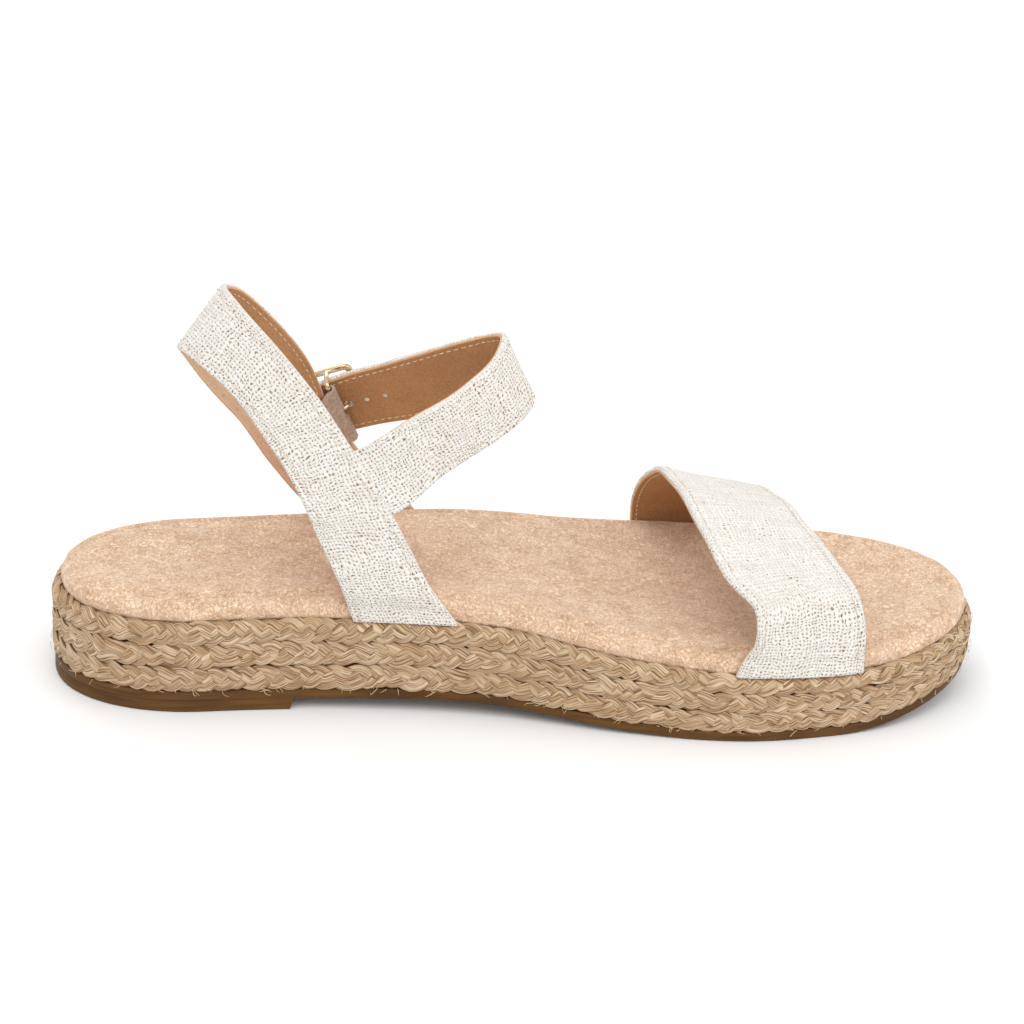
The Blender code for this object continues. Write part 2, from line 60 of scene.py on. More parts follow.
# Sole: one row for each section across the shoe, as a share of its length
LENGTH = 250.0
Section = namedtuple("Section", "station half_width centre sheet_bottom jute_top")
SECTIONS = (
    Section(0.00, 29.5, 5.0, 3.2, 25.3),
    Section(0.12, 29.6, 5.6, 3.2, 25.4),
    Section(0.28, 30.4, 6.0, 3.4, 25.9),
    Section(0.45, 34.4, 3.2, 3.9, 26.0),
    Section(0.60, 42.0, -0.8, 0.9, 20.8),
    Section(0.72, 45.0, -3.1, -0.6, 18.6),
    Section(0.85, 41.4, -4.2, 0.6, 18.5),
    Section(1.00, 35.0, -7.4, 8.2, 22.4),
)
HEEL_ROUNDING = (38.0, 2.1)
TOE_ROUNDING = (47.0, 2.2)
STATIONS = 240
SEAT_STATIONS = 160
WALL_STATIONS = 960

# Outsole, with a lift moulded under the heel
SHEET_THICKNESS = 3.0
OUTSOLE_INSET = 0.9
OUTSOLE_EDGE = 0.6
LIFT_LENGTH = 61.7
LIFT_FRONT = 0.5
LIFT_GROOVE = 0.3
GROOVE_FADE = 2.0

# Jute: rows of three-strand braid round a core, the top row rolled over the wedge's edge
BRAID_ROWS = 3
BRAID_STRANDS = 3
BRAID_INSET = 0.95
BRAID_PERIOD = 13.8
BRAID_SWING = 0.24
BRAID_DEPTH = 0.28
BRAID_ROLL = 2.4
BRAID_ROLL_TURN = 1.5
BRAID_STEP = 0.7
STRAND_WIDTH = 0.36
STRAND_PINCH = 0.16
STRAND_DEPTH = 0.42
STRAND_FLATNESS = 0.42
STRAND_SIDES = 16
BRAID_ROW_SHIFT = 0.37
BRAID_UNEVEN = Wobble(20.0, 0.3)
STRAND_WOBBLES = {
    "phase": Wobble(14.0, 0.1),
    "height": Wobble(11.0, 0.14),
    "lift": Wobble(9.0, 0.12),
    "width": Wobble(16.0, 0.11),
}
BRAID_SEED = 40
CORE_INSET = 1.9
CORE_ROUNDING = (1.0, 0.8)
CORE_RISE = 0.1

# Shifts of the fibre pattern along a strand, so that no two strands look alike
STRAND_GRAIN = 997.0
ROW_GRAIN = 4001.0

# Stray fibres: how many, the shares along the foot of the braid and in the tuft at the toe, and their forms
WISPS = 260
WISP_SEED = 7
WISP_SIDES = 4
WISP_RADII = (0.07, 0.075, 0.075, 0.07, 0.06, 0.05, 0.03)
LOW_SHARE = 0.72
TUFT_SHARE = 0.05
TUFT_WIDTH = 2.0
WISP_FOOT = (0.1, 1.2)
WISP_REACH = (0.8, 2.6)
WISP_DRIFT = 0.8
WISP_DROP = (0.3, 0.9)
WISP_CURL = 0.5
WISP_RISE = (0.05, 0.45)
WISP_LIFT = 1.1
WISP_FLOOR = 0.4

# Footbed: its edge from the seam upward, then a shallow dish
FOOTBED_INSET = 2.8
FOOTBED_DISH = 1.2
DISH_FADE = 5.0
FOOTBED_SEED = 3
FOOTBED_COLUMNS = 48
Edge = namedtuple("Edge", "inset height")
FOOTBED_EDGE = (
    Edge(0.5, -0.25),
    Edge(0.0, 0.8),
    Edge(0.0, 2.8),
    Edge(0.8, 4.2),
    Edge(2.6, 5.1),
    Edge(6.0, 5.6),
)
FOOTBED_RINGS = 36
PRESSED_LINE = Edge(4.3, -0.8)
PRESSED_WIDTH = 0.9
FOOTBED_RIPPLES = 26
FOOTBED_PUFF = 0.12
FOOTBED_DENTS = (Wobble(60.0, 0.22), Wobble(45.0, 0.18))

# Straps: one row for each section or fold, as its two edges
STRAP_THICKNESS = 2.0
STRAP_INSET = FOOTBED_INSET - GAP - STRAP_THICKNESS / 2
SEAT_RISES = (0.0, 4.4)
DIRECTION_STEP = 0.25
Fold = namedtuple("Fold", "lower upper bow", defaults=(0.0,))

VAMP_SEATS = {"medial": (174.8, 210.0), "lateral": (164.5, 197.0)}
VAMP_FOLDS = (
    Fold((178.4, -47.6, 29.5), (208.8, -45.0, 31.5)),
    Fold((176.2, -45.4, 38.0), (206.4, -42.4, 40.5)),
    Fold((171.0, -38.0, 44.6), (202.4, -35.5, 45.8)),
    Fold((167.8, -26.0, 50.2), (199.2, -25.0, 48.4)),
    Fold((165.4, -13.0, 54.2), (196.8, -12.0, 49.8)),
    Fold((163.8, 0.0, 55.2), (195.2, 0.5, 48.6)),
    Fold((163.2, 13.0, 51.8), (194.2, 12.5, 45.2)),
    Fold((163.0, 24.8, 44.0), (193.8, 23.0, 39.8)),
    Fold((163.2, 34.2, 36.0), (194.2, 31.2, 34.0)),
    Fold((163.8, 39.4, 28.8), (195.4, 36.0, 28.2)),
)

HEEL_SEATS = {"medial": (77.0, 104.0), "lateral": (72.4, 103.4)}
HEEL_FOLDS = (
    Fold((73.4, -25.6, 36.5), (96.6, -26.6, 37.0)),
    Fold((66.8, -23.6, 51.0), (88.4, -24.8, 52.5)),
    Fold((60.8, -20.4, 64.0), (78.2, -21.8, 69.5)),
    Fold((53.1, -16.6, 76.0), (66.6, -17.8, 87.0)),
    Fold((44.7, -12.0, 86.4), (55.7, -12.8, 99.6)),
    Fold((36.6, -7.0, 92.4), (47.0, -7.2, 108.2)),
    Fold((32.6, 0.2, 93.2), (44.2, 0.2, 110.2)),
    Fold((35.2, 6.8, 87.0), (48.6, 7.4, 106.8)),
    Fold((41.6, 11.2, 77.0), (58.8, 12.0, 96.0)),
    Fold((50.0, 16.2, 65.6), (67.6, 17.0, 83.2)),
    Fold((57.4, 22.6, 52.6), (74.4, 22.6, 67.4)),
    Fold((64.8, 29.8, 40.6), (83.8, 29.8, 51.4)),
    Fold((69.2, 34.0, 33.8), (95.0, 35.6, 38.2)),
)

# The ankle strap's root lies inside the heel strap's wall: share of the strap's length, share of its width
Root = namedtuple("Root", "lower_run upper_run across thickness")
ANKLE_ROOTS = (
    Root(0.164, 0.250, 0.35, 1.0),
    Root(0.164, 0.250, 0.70, 1.2),
)
ANKLE_FOLDS = (
    Fold((101.2, -17.2, 66.2), (91.2, -21.4, 83.2)),
    Fold((114.4, -10.8, 71.8), (104.6, -13.8, 88.2)),
    Fold((123.2, -5.0, 76.6), (114.2, -6.0, 94.6)),
    Fold((125.2, 0.6, 78.0), (116.2, 0.6, 96.4)),
    Fold((122.8, 6.6, 76.2), (113.8, 6.4, 94.4)),
    Fold((111.2, 13.2, 70.8), (103.2, 11.4, 89.4)),
    Fold((97.6, 22.4, 64.0), (89.8, 18.0, 82.2)),
    Fold((84.4, 29.6, 58.2), (76.6, 23.8, 75.6)),
    Fold((73.8, 31.7, 54.4), (65.6, 24.7, 70.6)),
    Fold((65.6, 31.2, 51.3), (56.8, 23.6, 67.2)),
)
ANKLE_TIP = (Fold((61.6, 29.8, 52.2), (54.4, 23.8, 64.2)), Fold((57.2, 27.4, 55.0), (53.8, 24.6, 60.4)))
BUCKLE_FOLD = len(ANKLE_ROOTS) + 7
HOLE_RADIUS = 0.65
HOLE_PITCH = 5.6
HOLES_FORWARD = 2
HOLES_BACK = 2
PUNCH_LINE = (-3.0, -1.0, 1.0, 3.0)
PUNCH_SIDES = 16

# Creases, in millimetres along the strap from its medial end, across it from its middle, and out of its face
Crease = namedtuple("Crease", "along across angle length width depth")
VAMP_CREASES = (
    Crease(17.0, -13.0, 72.0, 9.0, 3.4, 0.9),
    Crease(24.0, -12.0, 66.0, 10.0, 3.6, -0.7),
    Crease(20.0, 10.0, 82.0, 9.0, 4.0, 0.35),
    Crease(62.0, 3.0, 30.0, 16.0, 4.5, -0.3),
    Crease(96.0, -4.0, 75.0, 12.0, 4.0, 0.3),
)
HEEL_CREASES = (
    Crease(9.0, 3.0, 80.0, 10.0, 3.0, 0.5),
    Crease(16.0, -2.0, 70.0, 9.0, 3.2, -0.4),
    Crease(62.0, 0.0, 88.0, 12.0, 5.0, 0.3),
    Crease(108.0, 2.0, 84.0, 10.0, 3.6, -0.35),
    Crease(196.0, 0.0, 78.0, 10.0, 4.0, 0.5),
    Crease(206.0, -2.0, 74.0, 9.0, 3.4, -0.4),
)
ANKLE_CREASES = (
    Crease(52.0, 0.0, 85.0, 9.0, 3.0, -0.35),
    Crease(64.0, 1.0, 92.0, 9.0, 3.2, -0.3),
    Crease(84.0, -1.0, 80.0, 9.0, 4.5, 0.3),
)

# A strap's mesh, with a slight ripple over its face
STRAP_STEP = 0.7
STRAP_COLUMNS = 60
FACE_MARGIN = 0.4
STRAP_RIPPLE = Wobble(22.0, 0.1)
RIPPLE_SLANT = 0.6

# Its layers at the edge, linen over lining: millimetres in from the edge, share of half the thickness
LAYER_EDGE = (
    (0.95, 1.0),
    (0.5, 0.93),
    (0.16, 0.66),
    (0.0, 0.22),
    (0.03, -0.2),
    (0.2, -0.44),
    (0.34, -0.5),
    (0.18, -0.62),
    (0.2, -0.86),
    (0.5, -1.0),
)
LINEN_EDGE_FACES = 6
SEAM_EDGE_FACES = 4

# Stitching: a row along each edge on both faces, the dents that the threads pull, and painted shade in
# needle holes
Stitch = namedtuple("Stitch", "face edge pitch length size trough")
LINEN_STITCH = Stitch(1, 2.2, 3.0, 2.3, 1.0, 0.14)
LINING_STITCH = Stitch(-1, 1.8, 2.1, 1.5, 0.75, 0.12)
STITCH_RADII = np.array([0.1, 0.22, 0.25, 0.22, 0.1])
STITCH_DIVE = np.array([-0.28, 0.0, 0.06, 0.0, -0.28])
TROUGH_WIDTH = 0.5
STITCH_MARGINS = (2.0, 1.0)
TIP_MARGIN = 4.0
NARROWEST_HALF = 4.0
STITCH_STAGGER = 0.4
STITCH_RAISE = 0.12
PIT_RADII = (0.2, 0.12)
THREAD_SIDES = 6

# A slanting direction that the sections of threads are turned by
THREAD_NORMAL = (0.31, 0.23, 0.92)

# Where a strap's lower edge is drawn in: how far along, over what length, how much, how far across
Nip = namedtuple("Nip", "along length depth reach")
VAMP_NIPS = (Nip(21.5, 5.0, 2.0, 13.0),)

# The heel strap's lining is suede below a height and behind a line across it, each blended over a range
# The pinkish colour there is partly painted light: the paler look of the lining where light falls on it
SUEDE_TOP = (50.0, 58.0)
SUEDE_BACK = (-4.0, -2.5)

# Buckle: sizes along the strap, across it and out from it
BUCKLE_BACK = 3.0
FRAME_ALONG = 14.0
FRAME_ACROSS = 23.8
FRAME_CORNER = 1.8
CORNER_STEPS = 12
WIRE_SIDES = 20
FRAME_WIRE = (0.9, 0.7)
FRAME_LIFT = STRAP_THICKNESS / 2 + GAP + FRAME_WIRE[1]
BAR_RADIUS = 0.7
BAR_DROP = 3.7
BAR_BEND = 1.0
BAR_STEPS = 8
PRONG_RADIUS = 0.5
PRONG_EYE = BAR_RADIUS + GAP + PRONG_RADIUS
HOOK_START = 135
PRONG_STEPS = 90
PRONG_TIP = 1.2
PRONG_POINT = 0.05
PRONG_HOLE = 2.6
PRONG_HOLE_RADIUS = 1.2
TAB_THICKNESS = 0.9
TAB_RUNS = (0.762, 0.842)
TAB_WRAP = BAR_RADIUS + GAP + TAB_THICKNESS / 2
TAB_OFFSET = STRAP_THICKNESS / 2 + 2 * GAP + TAB_THICKNESS / 2
TAB_INNER_SHARES = (-0.2, 0.35, 0.85)
TAB_RETURN = 0.7
TAB_HALF_WIDTH = 9.8
SLOT_SIZE = (7.0, 3.0, 4.6)
SLOT_FLOOR = -0.9

# The linen's threads wander: scale and reach of each bend
LINEN_BENDS = ((0.08, 5.0), (0.5, 1.5), (1.4, 0.6))

# Finishes of one mottled colour: the colours on a screen, from 0 to 255, the mottling's scale and the gloss
Plain = namedtuple("Plain", "dark light scale roughness specular", defaults=(0.3,))
PLAIN_FINISHES = {
    "linen_thread": Plain((214, 204, 190), (240, 236, 228), 900.0, 0.85),
    "tan_thread": Plain((210, 178, 140), (236, 212, 180), 900.0, 0.8),
    # pit_shade and jute_shade are painted shade: the dark in needle holes and in the gaps between braids
    "pit_shade": Plain((120, 92, 66), (150, 122, 94), 900.0, 0.9),
    "jute_shade": Plain((92, 66, 40), (120, 88, 54), 400.0, 0.95),
    "jute_wisp": Plain((196, 164, 118), (228, 204, 166), 300.0, 0.7),
    "floor": Plain((246, 246, 246), (250, 250, 250), 3.0, 0.9, 0.0),
}

# Camera and light, in metres
CAMERA_PLACE = (-0.1325, -0.6491, 0.357)
CAMERA_TARGET = (-0.0039, 0.0, 0.0472)
CAMERA_ROLL = 3.88
CAMERA_LENS = 96.5
Lamp = namedtuple("Lamp", "name place size power")
LAMPS = (
    Lamp("key", (-0.34, -0.7, 1.3), 1.1, 8.3),
    Lamp("fill", (0.9, -0.65, 0.5), 1.2, 3.8),
    Lamp("back", (-0.2, 1.0, 0.9), 1.0, 3.5),
)
SKY = (0.8, 0.8, 0.8)
FLOOR_SIZE = 6.0


# Curves through tables


def hermite(xs, ys, x):
    """Smooth curve through the points (xs, ys), with the slope at each taken from its neighbours."""
    xs = np.asarray(xs, float)
    ys = np.asarray(ys, float)
    slopes = np.gradient(ys, xs, axis=0)
    i = np.clip(np.searchsorted(xs, x) - 1, 0, len(xs) - 2)
    span = xs[i + 1] - xs[i]
    t = (np.asarray(x, float) - xs[i]) / span
    if ys.ndim > 1:
        span, t = span[..., None], t[..., None]
    rise = ys[i] * (1 + 2 * t) * (1 - t) ** 2 + ys[i + 1] * t * t * (3 - 2 * t)
    lean = slopes[i] * t * (1 - t) ** 2 + slopes[i + 1] * t * t * (t - 1)
    return rise + lean * span


def section(column, x):
    stations = [row.station * LENGTH for row in SECTIONS]
    return hermite(stations, [getattr(row, column) for row in SECTIONS], np.clip(x, 0, LENGTH))


def sheet_bottom(x):
    """Underside of the outsole sheet: raised over the arch and the toe, flat under the ball."""
    return np.maximum(section("sheet_bottom", x), 0.0)


def jute_bottom(x):
    return sheet_bottom(x) + SHEET_THICKNESS + GAP


def jute_top(x):
    return section("jute_top", x)


def unit(vectors):
    return vectors / np.linalg.norm(vectors, axis=-1, keepdims=True)


def distances(points):
    """Distance along a line to each of its points."""
    return np.concatenate([[0], np.cumsum(np.linalg.norm(np.diff(points, axis=0), axis=1))])


def tangents(loop):
    """Unit vectors along a closed loop of points."""
    return unit(np.roll(loop, -1, 0) - np.roll(loop, 1, 0))


def rounded_power(value, power):
    """Power of the size, with the sign kept."""
    return np.sign(value) * np.abs(value) ** power


def smooth_step(value, low, high):
    t = np.clip((value - low) / (high - low), 0, 1)
    return t * t * (3 - 2 * t)


def wander(rng, period, wavelength, size):
    """A seeded wobble of about that size that repeats after period, with waves near that wavelength."""
    most = max(2, int(round(1.6 * period / wavelength)))
    turns = rng.integers(max(1, most // 4), most + 1, WAVES)
    phases = rng.uniform(0, math.tau, WAVES)

    def value(at):
        waving = [np.sin(math.tau * turn * at / period + phase) for turn, phase in zip(turns, phases)]
        return size * sum(waving) / math.sqrt(WAVES / 2)

    return value


# The sole's outline


def end_rounding(distance, rounding):
    reach, power = rounding
    inward = np.clip(1 - distance / reach, 0, 1)
    return (1 - inward**power) ** (1 / power)


def even_stations(count):
    return LENGTH * (1 - np.cos(math.pi * np.arange(count + 1) / count)) / 2


def outline(inset, stations):
    """Points round the sole: the stations along its lateral side to the toe, then back along the medial."""
    x = np.concatenate([stations, stations[-2:0:-1]])
    side = np.concatenate([np.ones(len(stations)), -np.ones(len(stations) - 2)])
    rounding = end_rounding(x, HEEL_ROUNDING) * end_rounding(LENGTH - x, TOE_ROUNDING)
    y = section("centre", x) + side * section("half_width", x) * rounding
    points = np.column_stack([x, y])
    along = tangents(points)
    inward = np.column_stack([along[:, 1], -along[:, 0]])
    return points + inward * np.reshape(inset, (-1, 1))


def edge_y(x, inset, side):
    """Y of the sole's edge at x, on the lateral (+1) or medial (-1) side."""
    flat = outline(inset, even_stations(SEAT_STATIONS))
    rows = flat[: SEAT_STATIONS + 1] if side > 0 else flat[SEAT_STATIONS:][::-1]
    return float(np.interp(x, rows[:, 0], rows[:, 1]))


# Meshes


def grid_faces(rows, columns, loop_rows=False, first=0):
    """Quads over a grid of points that are numbered row by row, each row a loop."""
    row = np.arange(rows if loop_rows else rows - 1)[:, None]
    column = np.arange(columns)[None, :]
    ahead, beside = (row + 1) % rows, (column + 1) % columns
    corners = (
        row * columns + column,
        row * columns + beside,
        ahead * columns + beside,
        ahead * columns + column,
    )
    return (first + np.stack(corners, -1).reshape(-1, 4)).tolist()


def ladder(first, count):
    """Faces that close a loop across the shoe, joining each lateral point to its medial partner."""
    faces = []
    for i in range(count // 2):
        corners = (i, i + 1, (count - i - 1) % count, (count - i) % count)
        faces.append(tuple(first + c for c in dict.fromkeys(corners)))
    return faces


def new_mesh(name, points, faces):
    """Closed mesh from points in millimetres, with its faces pointing out."""
    mesh = bpy.data.meshes.new(name)
    mesh.from_pydata(((np.asarray(points) + HEEL_BACK) * MM).tolist(), [], faces)
    made = bmesh.new()
    made.from_mesh(mesh)
    bmesh.ops.recalc_face_normals(made, faces=made.faces)
    made.to_mesh(mesh)
    made.free()
    mesh.shade_smooth()
    return mesh


def lay_uv(mesh, uv):
    """Surface coordinates in millimetres, one pair for each point of the mesh."""
    layer = mesh.uv_layers.new(name="surface")
    corners = np.empty(len(mesh.loops), int)
    mesh.loops.foreach_get("vertex_index", corners)
    layer.data.foreach_set("uv", np.asarray(uv, np.float32)[corners].ravel())


def mark_points(mesh, name, values):
    attribute = mesh.attributes.new(name, "FLOAT", "POINT")
    attribute.data.foreach_set("value", np.asarray(values, np.float32))


def new_object(name, data):
    thing = bpy.data.objects.new(name, data)
    bpy.context.scene.collection.objects.link(thing)
    return thing


def new_piece(mesh, materials, replaces):
    """Places a mesh as a piece of the shoe, under the mesh's name."""
    for material in materials:
        mesh.materials.append(material)
    piece = new_object(mesh.name, mesh)
    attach(piece, "root")
    if replaces:
        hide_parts(*replaces)
    return piece


def boolean(target, tool_mesh, operation):
    """Applies a Boolean to target's mesh."""
    tool = new_object("tool", tool_mesh)
    modifier = target.modifiers.new(operation.title(), "BOOLEAN")
    modifier.operation = operation
    modifier.solver = "EXACT"
    modifier.object = tool
    graph = bpy.context.evaluated_depsgraph_get()
    mesh = bpy.data.meshes.new_from_object(target.evaluated_get(graph))
    target.modifiers.clear()
    target.data = mesh
    bpy.data.objects.remove(tool)


def sweep(name, paths, normal, wide, high, scale, closed=False):
    """Tubes along paths as one mesh. Their section is wide square to normal and high along it."""
    paths = np.asarray(paths, float)
    tubes, count, _ = paths.shape
    sides = len(wide)
    steps = np.roll(paths, -1, 1) - np.roll(paths, 1, 1) if closed else np.gradient(paths, axis=1)
    along = unit(steps)
    across = unit(np.cross(along, normal))
    rise = np.cross(across, along)
    spokes = wide[:, None] * across[:, :, None] + high[:, None] * rise[:, :, None]
    points = paths[:, :, None] + np.asarray(scale, float)[:, None, None] * spokes
    faces = []
    for first in range(0, tubes * count * sides, count * sides):
        faces += grid_faces(count, sides, loop_rows=closed, first=first)
        if not closed:
            ends = (first, first + (count - 1) * sides)
            faces += [tuple(range(end, end + sides)) for end in ends]
    return new_mesh(name, points.reshape(-1, 3), faces)


def thread_bundle(name, paths, radii, sides):
    """Many short threads as one mesh, with a radius for each point of a path."""
    turn = math.tau * np.arange(sides) / sides
    return sweep(name, paths, THREAD_NORMAL, np.cos(turn), np.sin(turn), radii)


# Materials


class Finish:
    """One material, whose nodes are added by short calls that return their output."""

    def __init__(self, name, roughness, specular=0.3, **constants):
        self.material = bpy.data.materials.new(name)
        self.material.use_nodes = True
        self.tree = self.material.node_tree
        self.shader = self.tree.nodes["Principled BSDF"]
        self.shader.inputs["Roughness"].default_value = roughness
        self.shader.inputs["Specular IOR Level"].default_value = specular
        for socket, value in constants.items():
            self.shader.inputs[socket.replace("_", " ").title()].default_value = value

    def add(self, kind, inputs, output=0, **settings):
        node = self.tree.nodes.new(kind)
        for name, value in settings.items():
            setattr(node, name, value)
        for key, value in inputs.items():
            if isinstance(value, bpy.types.NodeSocket):
                self.tree.links.new(value, node.inputs[key])
            else:
                node.inputs[key].default_value = value
        return node.outputs[output]

    def math(self, operation, a, b=0.0):
        return self.add("ShaderNodeMath", {0: a, 1: b}, operation=operation)

    def times(self, a, b):
        return self.math("MULTIPLY", a, b)

    def blend(self, value, scale, offset):
        """value times scale plus offset, where either may vary."""
        return self.add("ShaderNodeMath", {0: value, 1: scale, 2: offset}, operation="MULTIPLY_ADD")

    def vector(self, operation, a, b):
        return self.add("ShaderNodeVectorMath", {0: a, 1: b}, operation=operation)

    def noise(self, vector, scale, detail=2.0, distortion=0.0, output=0):
        inputs = {"Vector": vector, "Scale": scale, "Detail": detail, "Distortion": distortion}
        return self.add("ShaderNodeTexNoise", inputs, output)

    def stretched(self, vector, scales):
        return self.vector("MULTIPLY", vector, scales)

    def part(self, vector, axis):
        return self.add("ShaderNodeSeparateXYZ", {0: vector}, output=axis)

    def step(self, value, low, high):
        """0 below low and 1 above high, smooth between."""
        inputs = {"Value": value, "From Min": low, "From Max": high}
        return self.add("ShaderNodeMapRange", inputs, interpolation_type="SMOOTHSTEP")

    def mix(self, factor, a, b):
        colours = {0: factor, 6: a, 7: b}
        return self.add("ShaderNodeMix", colours, output=2, data_type="RGBA", clamp_factor=True)

    def surface(self):
        return self.add("ShaderNodeUVMap", {}, uv_map="surface")

    def place(self):
        return self.add("ShaderNodeTexCoord", {}, output="Object")

    def mark(self, name):
        return self.add("ShaderNodeAttribute", {}, output="Fac", attribute_name=name)

    def paint(self, colour):
        self.tree.links.new(colour, self.shader.inputs["Base Color"])

    def polish(self, roughness):
        self.tree.links.new(roughness, self.shader.inputs["Roughness"])

    def emboss(self, height, millimetres, strength):
        inputs = {"Height": height, "Distance": millimetres * MM, "Strength": strength}
        normal = self.add("ShaderNodeBump", inputs)
        self.tree.links.new(normal, self.shader.inputs["Normal"])


def rgb(red, green, blue):
    """Colour as the eye reads it on a screen, from 0 to 255, turned into linear light."""
    screen = np.array([red, green, blue]) / 255
    linear = np.where(screen <= 0.04045, screen / 12.92, ((screen + 0.055) / 1.055) ** 2.4)
    return (*linear.tolist(), 1.0)


def linen_finish():
    """Plain weave in off-white, with uneven threads, brown pinholes strewn where four threads meet, and
    painted shade between threads.
    """
    made = Finish("linen", 0.92, specular=0.15, sheen_weight=0.15)
    surface = made.surface()
    bent = surface
    for scale, reach in LINEN_BENDS:
        bend = made.noise(surface, scale, output="Color")
        bent = made.vector("ADD", bent, made.stretched(bend, (reach, reach, 0.0)))
    cells = made.stretched(bent, (1.0, 1.0, 0.0))
    along, across = [made.math("SINE", made.times(made.part(cells, axis), math.pi)) for axis in (0, 1)]
    over = made.times(made.math("SIGN", across), along)
    under = made.times(made.math("SIGN", along), across)
    warp = made.times(made.math("ABSOLUTE", across), made.blend(over, 0.35, 0.65))
    weft = made.times(made.math("ABSOLUTE", along), made.blend(under, -0.35, 0.65))
    height = made.math("MAXIMUM", warp, weft)
    corner = made.vector("FLOOR", made.vector("ADD", cells, (0.5, 0.5, 0.0)), (0.0, 0.0, 0.0))
    chance, skew = [
        made.add("ShaderNodeTexWhiteNoise", {"Vector": corner}, output=output, noise_dimensions="2D")
        for output in ("Value", "Color")
    ]
    jitter = made.stretched(made.vector("SUBTRACT", skew, (0.5, 0.5, 0.0)), (0.36, 0.36, 0.0))
    oval = made.vector("ADD", skew, (0.35, 0.5, 0.0))
    away = made.stretched(made.vector("SUBTRACT", cells, made.vector("ADD", corner, jitter)), oval)
    distance = made.add("ShaderNodeVectorMath", {0: away}, output="Value", operation="LENGTH")
    # Random patches of pinholes and groove shade; as painted light, upward faces get fewer, washed out by
    # light from above.
    normal = made.part(made.add("ShaderNodeNewGeometry", {}, output="Normal"), 2)
    patchy = made.step(made.noise(surface, 0.07, 2.0), 0.3, 0.7)
    patchy_and_side_shade = made.blend(patchy, 0.45, made.step(normal, 0.8, 0.3))
    rarity = made.math("MAXIMUM", made.blend(patchy_and_side_shade, -4.2, 5.0), 0.3)
    size = made.times(made.math("POWER", chance, rarity), 0.245)
    hole = made.step(made.math("SUBTRACT", size, distance), -0.04, 0.1)
    slub = made.noise(made.stretched(surface, (0.05, 0.95, 1.0)), 1.0, 3.0)
    slub_across = made.noise(made.stretched(surface, (0.95, 0.05, 1.0)), 1.0, 3.0)
    thread = made.math("ADD", slub, slub_across)
    yarn = made.mix(made.step(thread, 0.78, 1.3), rgb(238, 236, 232), rgb(229, 223, 214))
    # Painted shade: the grooves between threads are darker, more so on sideways faces.
    groove_shade = made.mix(patchy_and_side_shade, rgb(214, 206, 195), rgb(200, 187, 169))
    crossing = made.mix(made.step(height, 0.15, 0.6), groove_shade, yarn)
    pit = made.mix(skew, rgb(132, 104, 78), rgb(172, 146, 119))
    made.paint(made.mix(hole, crossing, pit))
    made.emboss(made.blend(made.noise(surface, 4.5), 0.3, height), 0.32, 0.9)
    return made.material


def lining_finish():
    """Brown leather with fine pores, and pinkish suede, partly painted sheen, where the mark says so."""
    made = Finish("lining", 0.55, specular=0.35)
    place = made.place()
    pores = made.add("ShaderNodeTexVoronoi", {"Vector": place, "Scale": 1500.0})
    cloud = made.noise(place, 90.0, 4.0)
    nap = made.noise(place, 1400.0, 3.0, 1.0)
    grain = made.step(made.noise(place, 1700.0, 2.0), 0.3, 0.7)
    tone = made.blend(made.step(cloud, 0.3, 0.7), 0.35, made.times(grain, 0.6))
    leather = made.mix(tone, rgb(164, 119, 80), rgb(192, 146, 104))
    # The pinkish suede colour is partly painted light, the paler look of the lining where light falls on it.
    suede = made.mix(nap, rgb(210, 172, 142), rgb(232, 200, 172))
    mark = made.mark("suede")
    made.paint(made.mix(mark, leather, suede))
    made.polish(made.blend(mark, 0.35, 0.52))
    made.emboss(made.math("ADD", pores, nap), 0.05, 0.6)
    return made.material


def edge_finish():
    """Painted cut edge between linen and lining."""
    made = Finish("strap_edge", 0.7)
    tint = made.noise(made.place(), 700.0, 3.0)
    made.paint(made.mix(tint, rgb(198, 150, 108), rgb(228, 186, 144)))
    return made.material


def suede_finish(name, dark, light, curl):
    """Short nap that lies in small curls and specks, with soft cloudy patches."""
    made = Finish(name, 0.95, specular=0.1, sheen_weight=0.25, sheen_roughness=0.5)
    place = made.place()
    cloud = made.noise(place, 170.0, 4.0)
    nap = made.noise(place, 520.0, 4.0, 2.8)
    speck = made.noise(place, 1100.0, 3.0, 1.0)
    worm = made.math("ABSOLUTE", made.math("SUBTRACT", nap, 0.5))
    ridge = made.step(worm, 0.0, 0.1)
    soft = made.blend(made.step(cloud, 0.3, 0.7), 0.3, made.times(made.step(speck, 0.36, 0.64), 0.42))
    tone = made.blend(ridge, curl, soft)
    made.paint(made.mix(tone, dark, light))
    made.emboss(made.blend(speck, 1.2, ridge), 0.2, 0.8)
    return made.material


def jute_finish():
    """Golden fibres that run along each strand, with painted shade at its sides and where it dives under the
    next.
    """
    made = Finish("jute", 0.8, specular=0.2, sheen_weight=0.1)
    surface = made.surface()
    streak = made.noise(made.stretched(surface, (0.12, 2.9, 1.0)), 1.0, 4.0, 0.5)
    fine = made.noise(made.stretched(surface, (0.3, 8.0, 1.0)), 1.0, 2.0)
    bundle = made.noise(made.stretched(surface, (0.055, 0.5, 1.0)), 1.0, 2.0)
    pale = made.mix(made.step(bundle, 0.3, 0.7), rgb(186, 154, 116), rgb(222, 198, 166))
    fibre = made.mix(made.step(streak, 0.34, 0.6), rgb(128, 94, 60), pale)
    # Painted shade: darker brown along each strand's sides, where it meets its neighbours.
    rim_shade = made.mix(made.step(made.mark("rim"), 0.88, 1.0), fibre, rgb(104, 72, 42))
    # Painted shade: darker brown where a strand lies deep, under the others.
    depth_shade = made.step(made.mark("depth"), 0.05, 0.5)
    made.paint(made.mix(depth_shade, rgb(104, 72, 42), rim_shade))
    made.emboss(made.blend(fine, 0.5, streak), 0.3, 0.9)
    return made.material


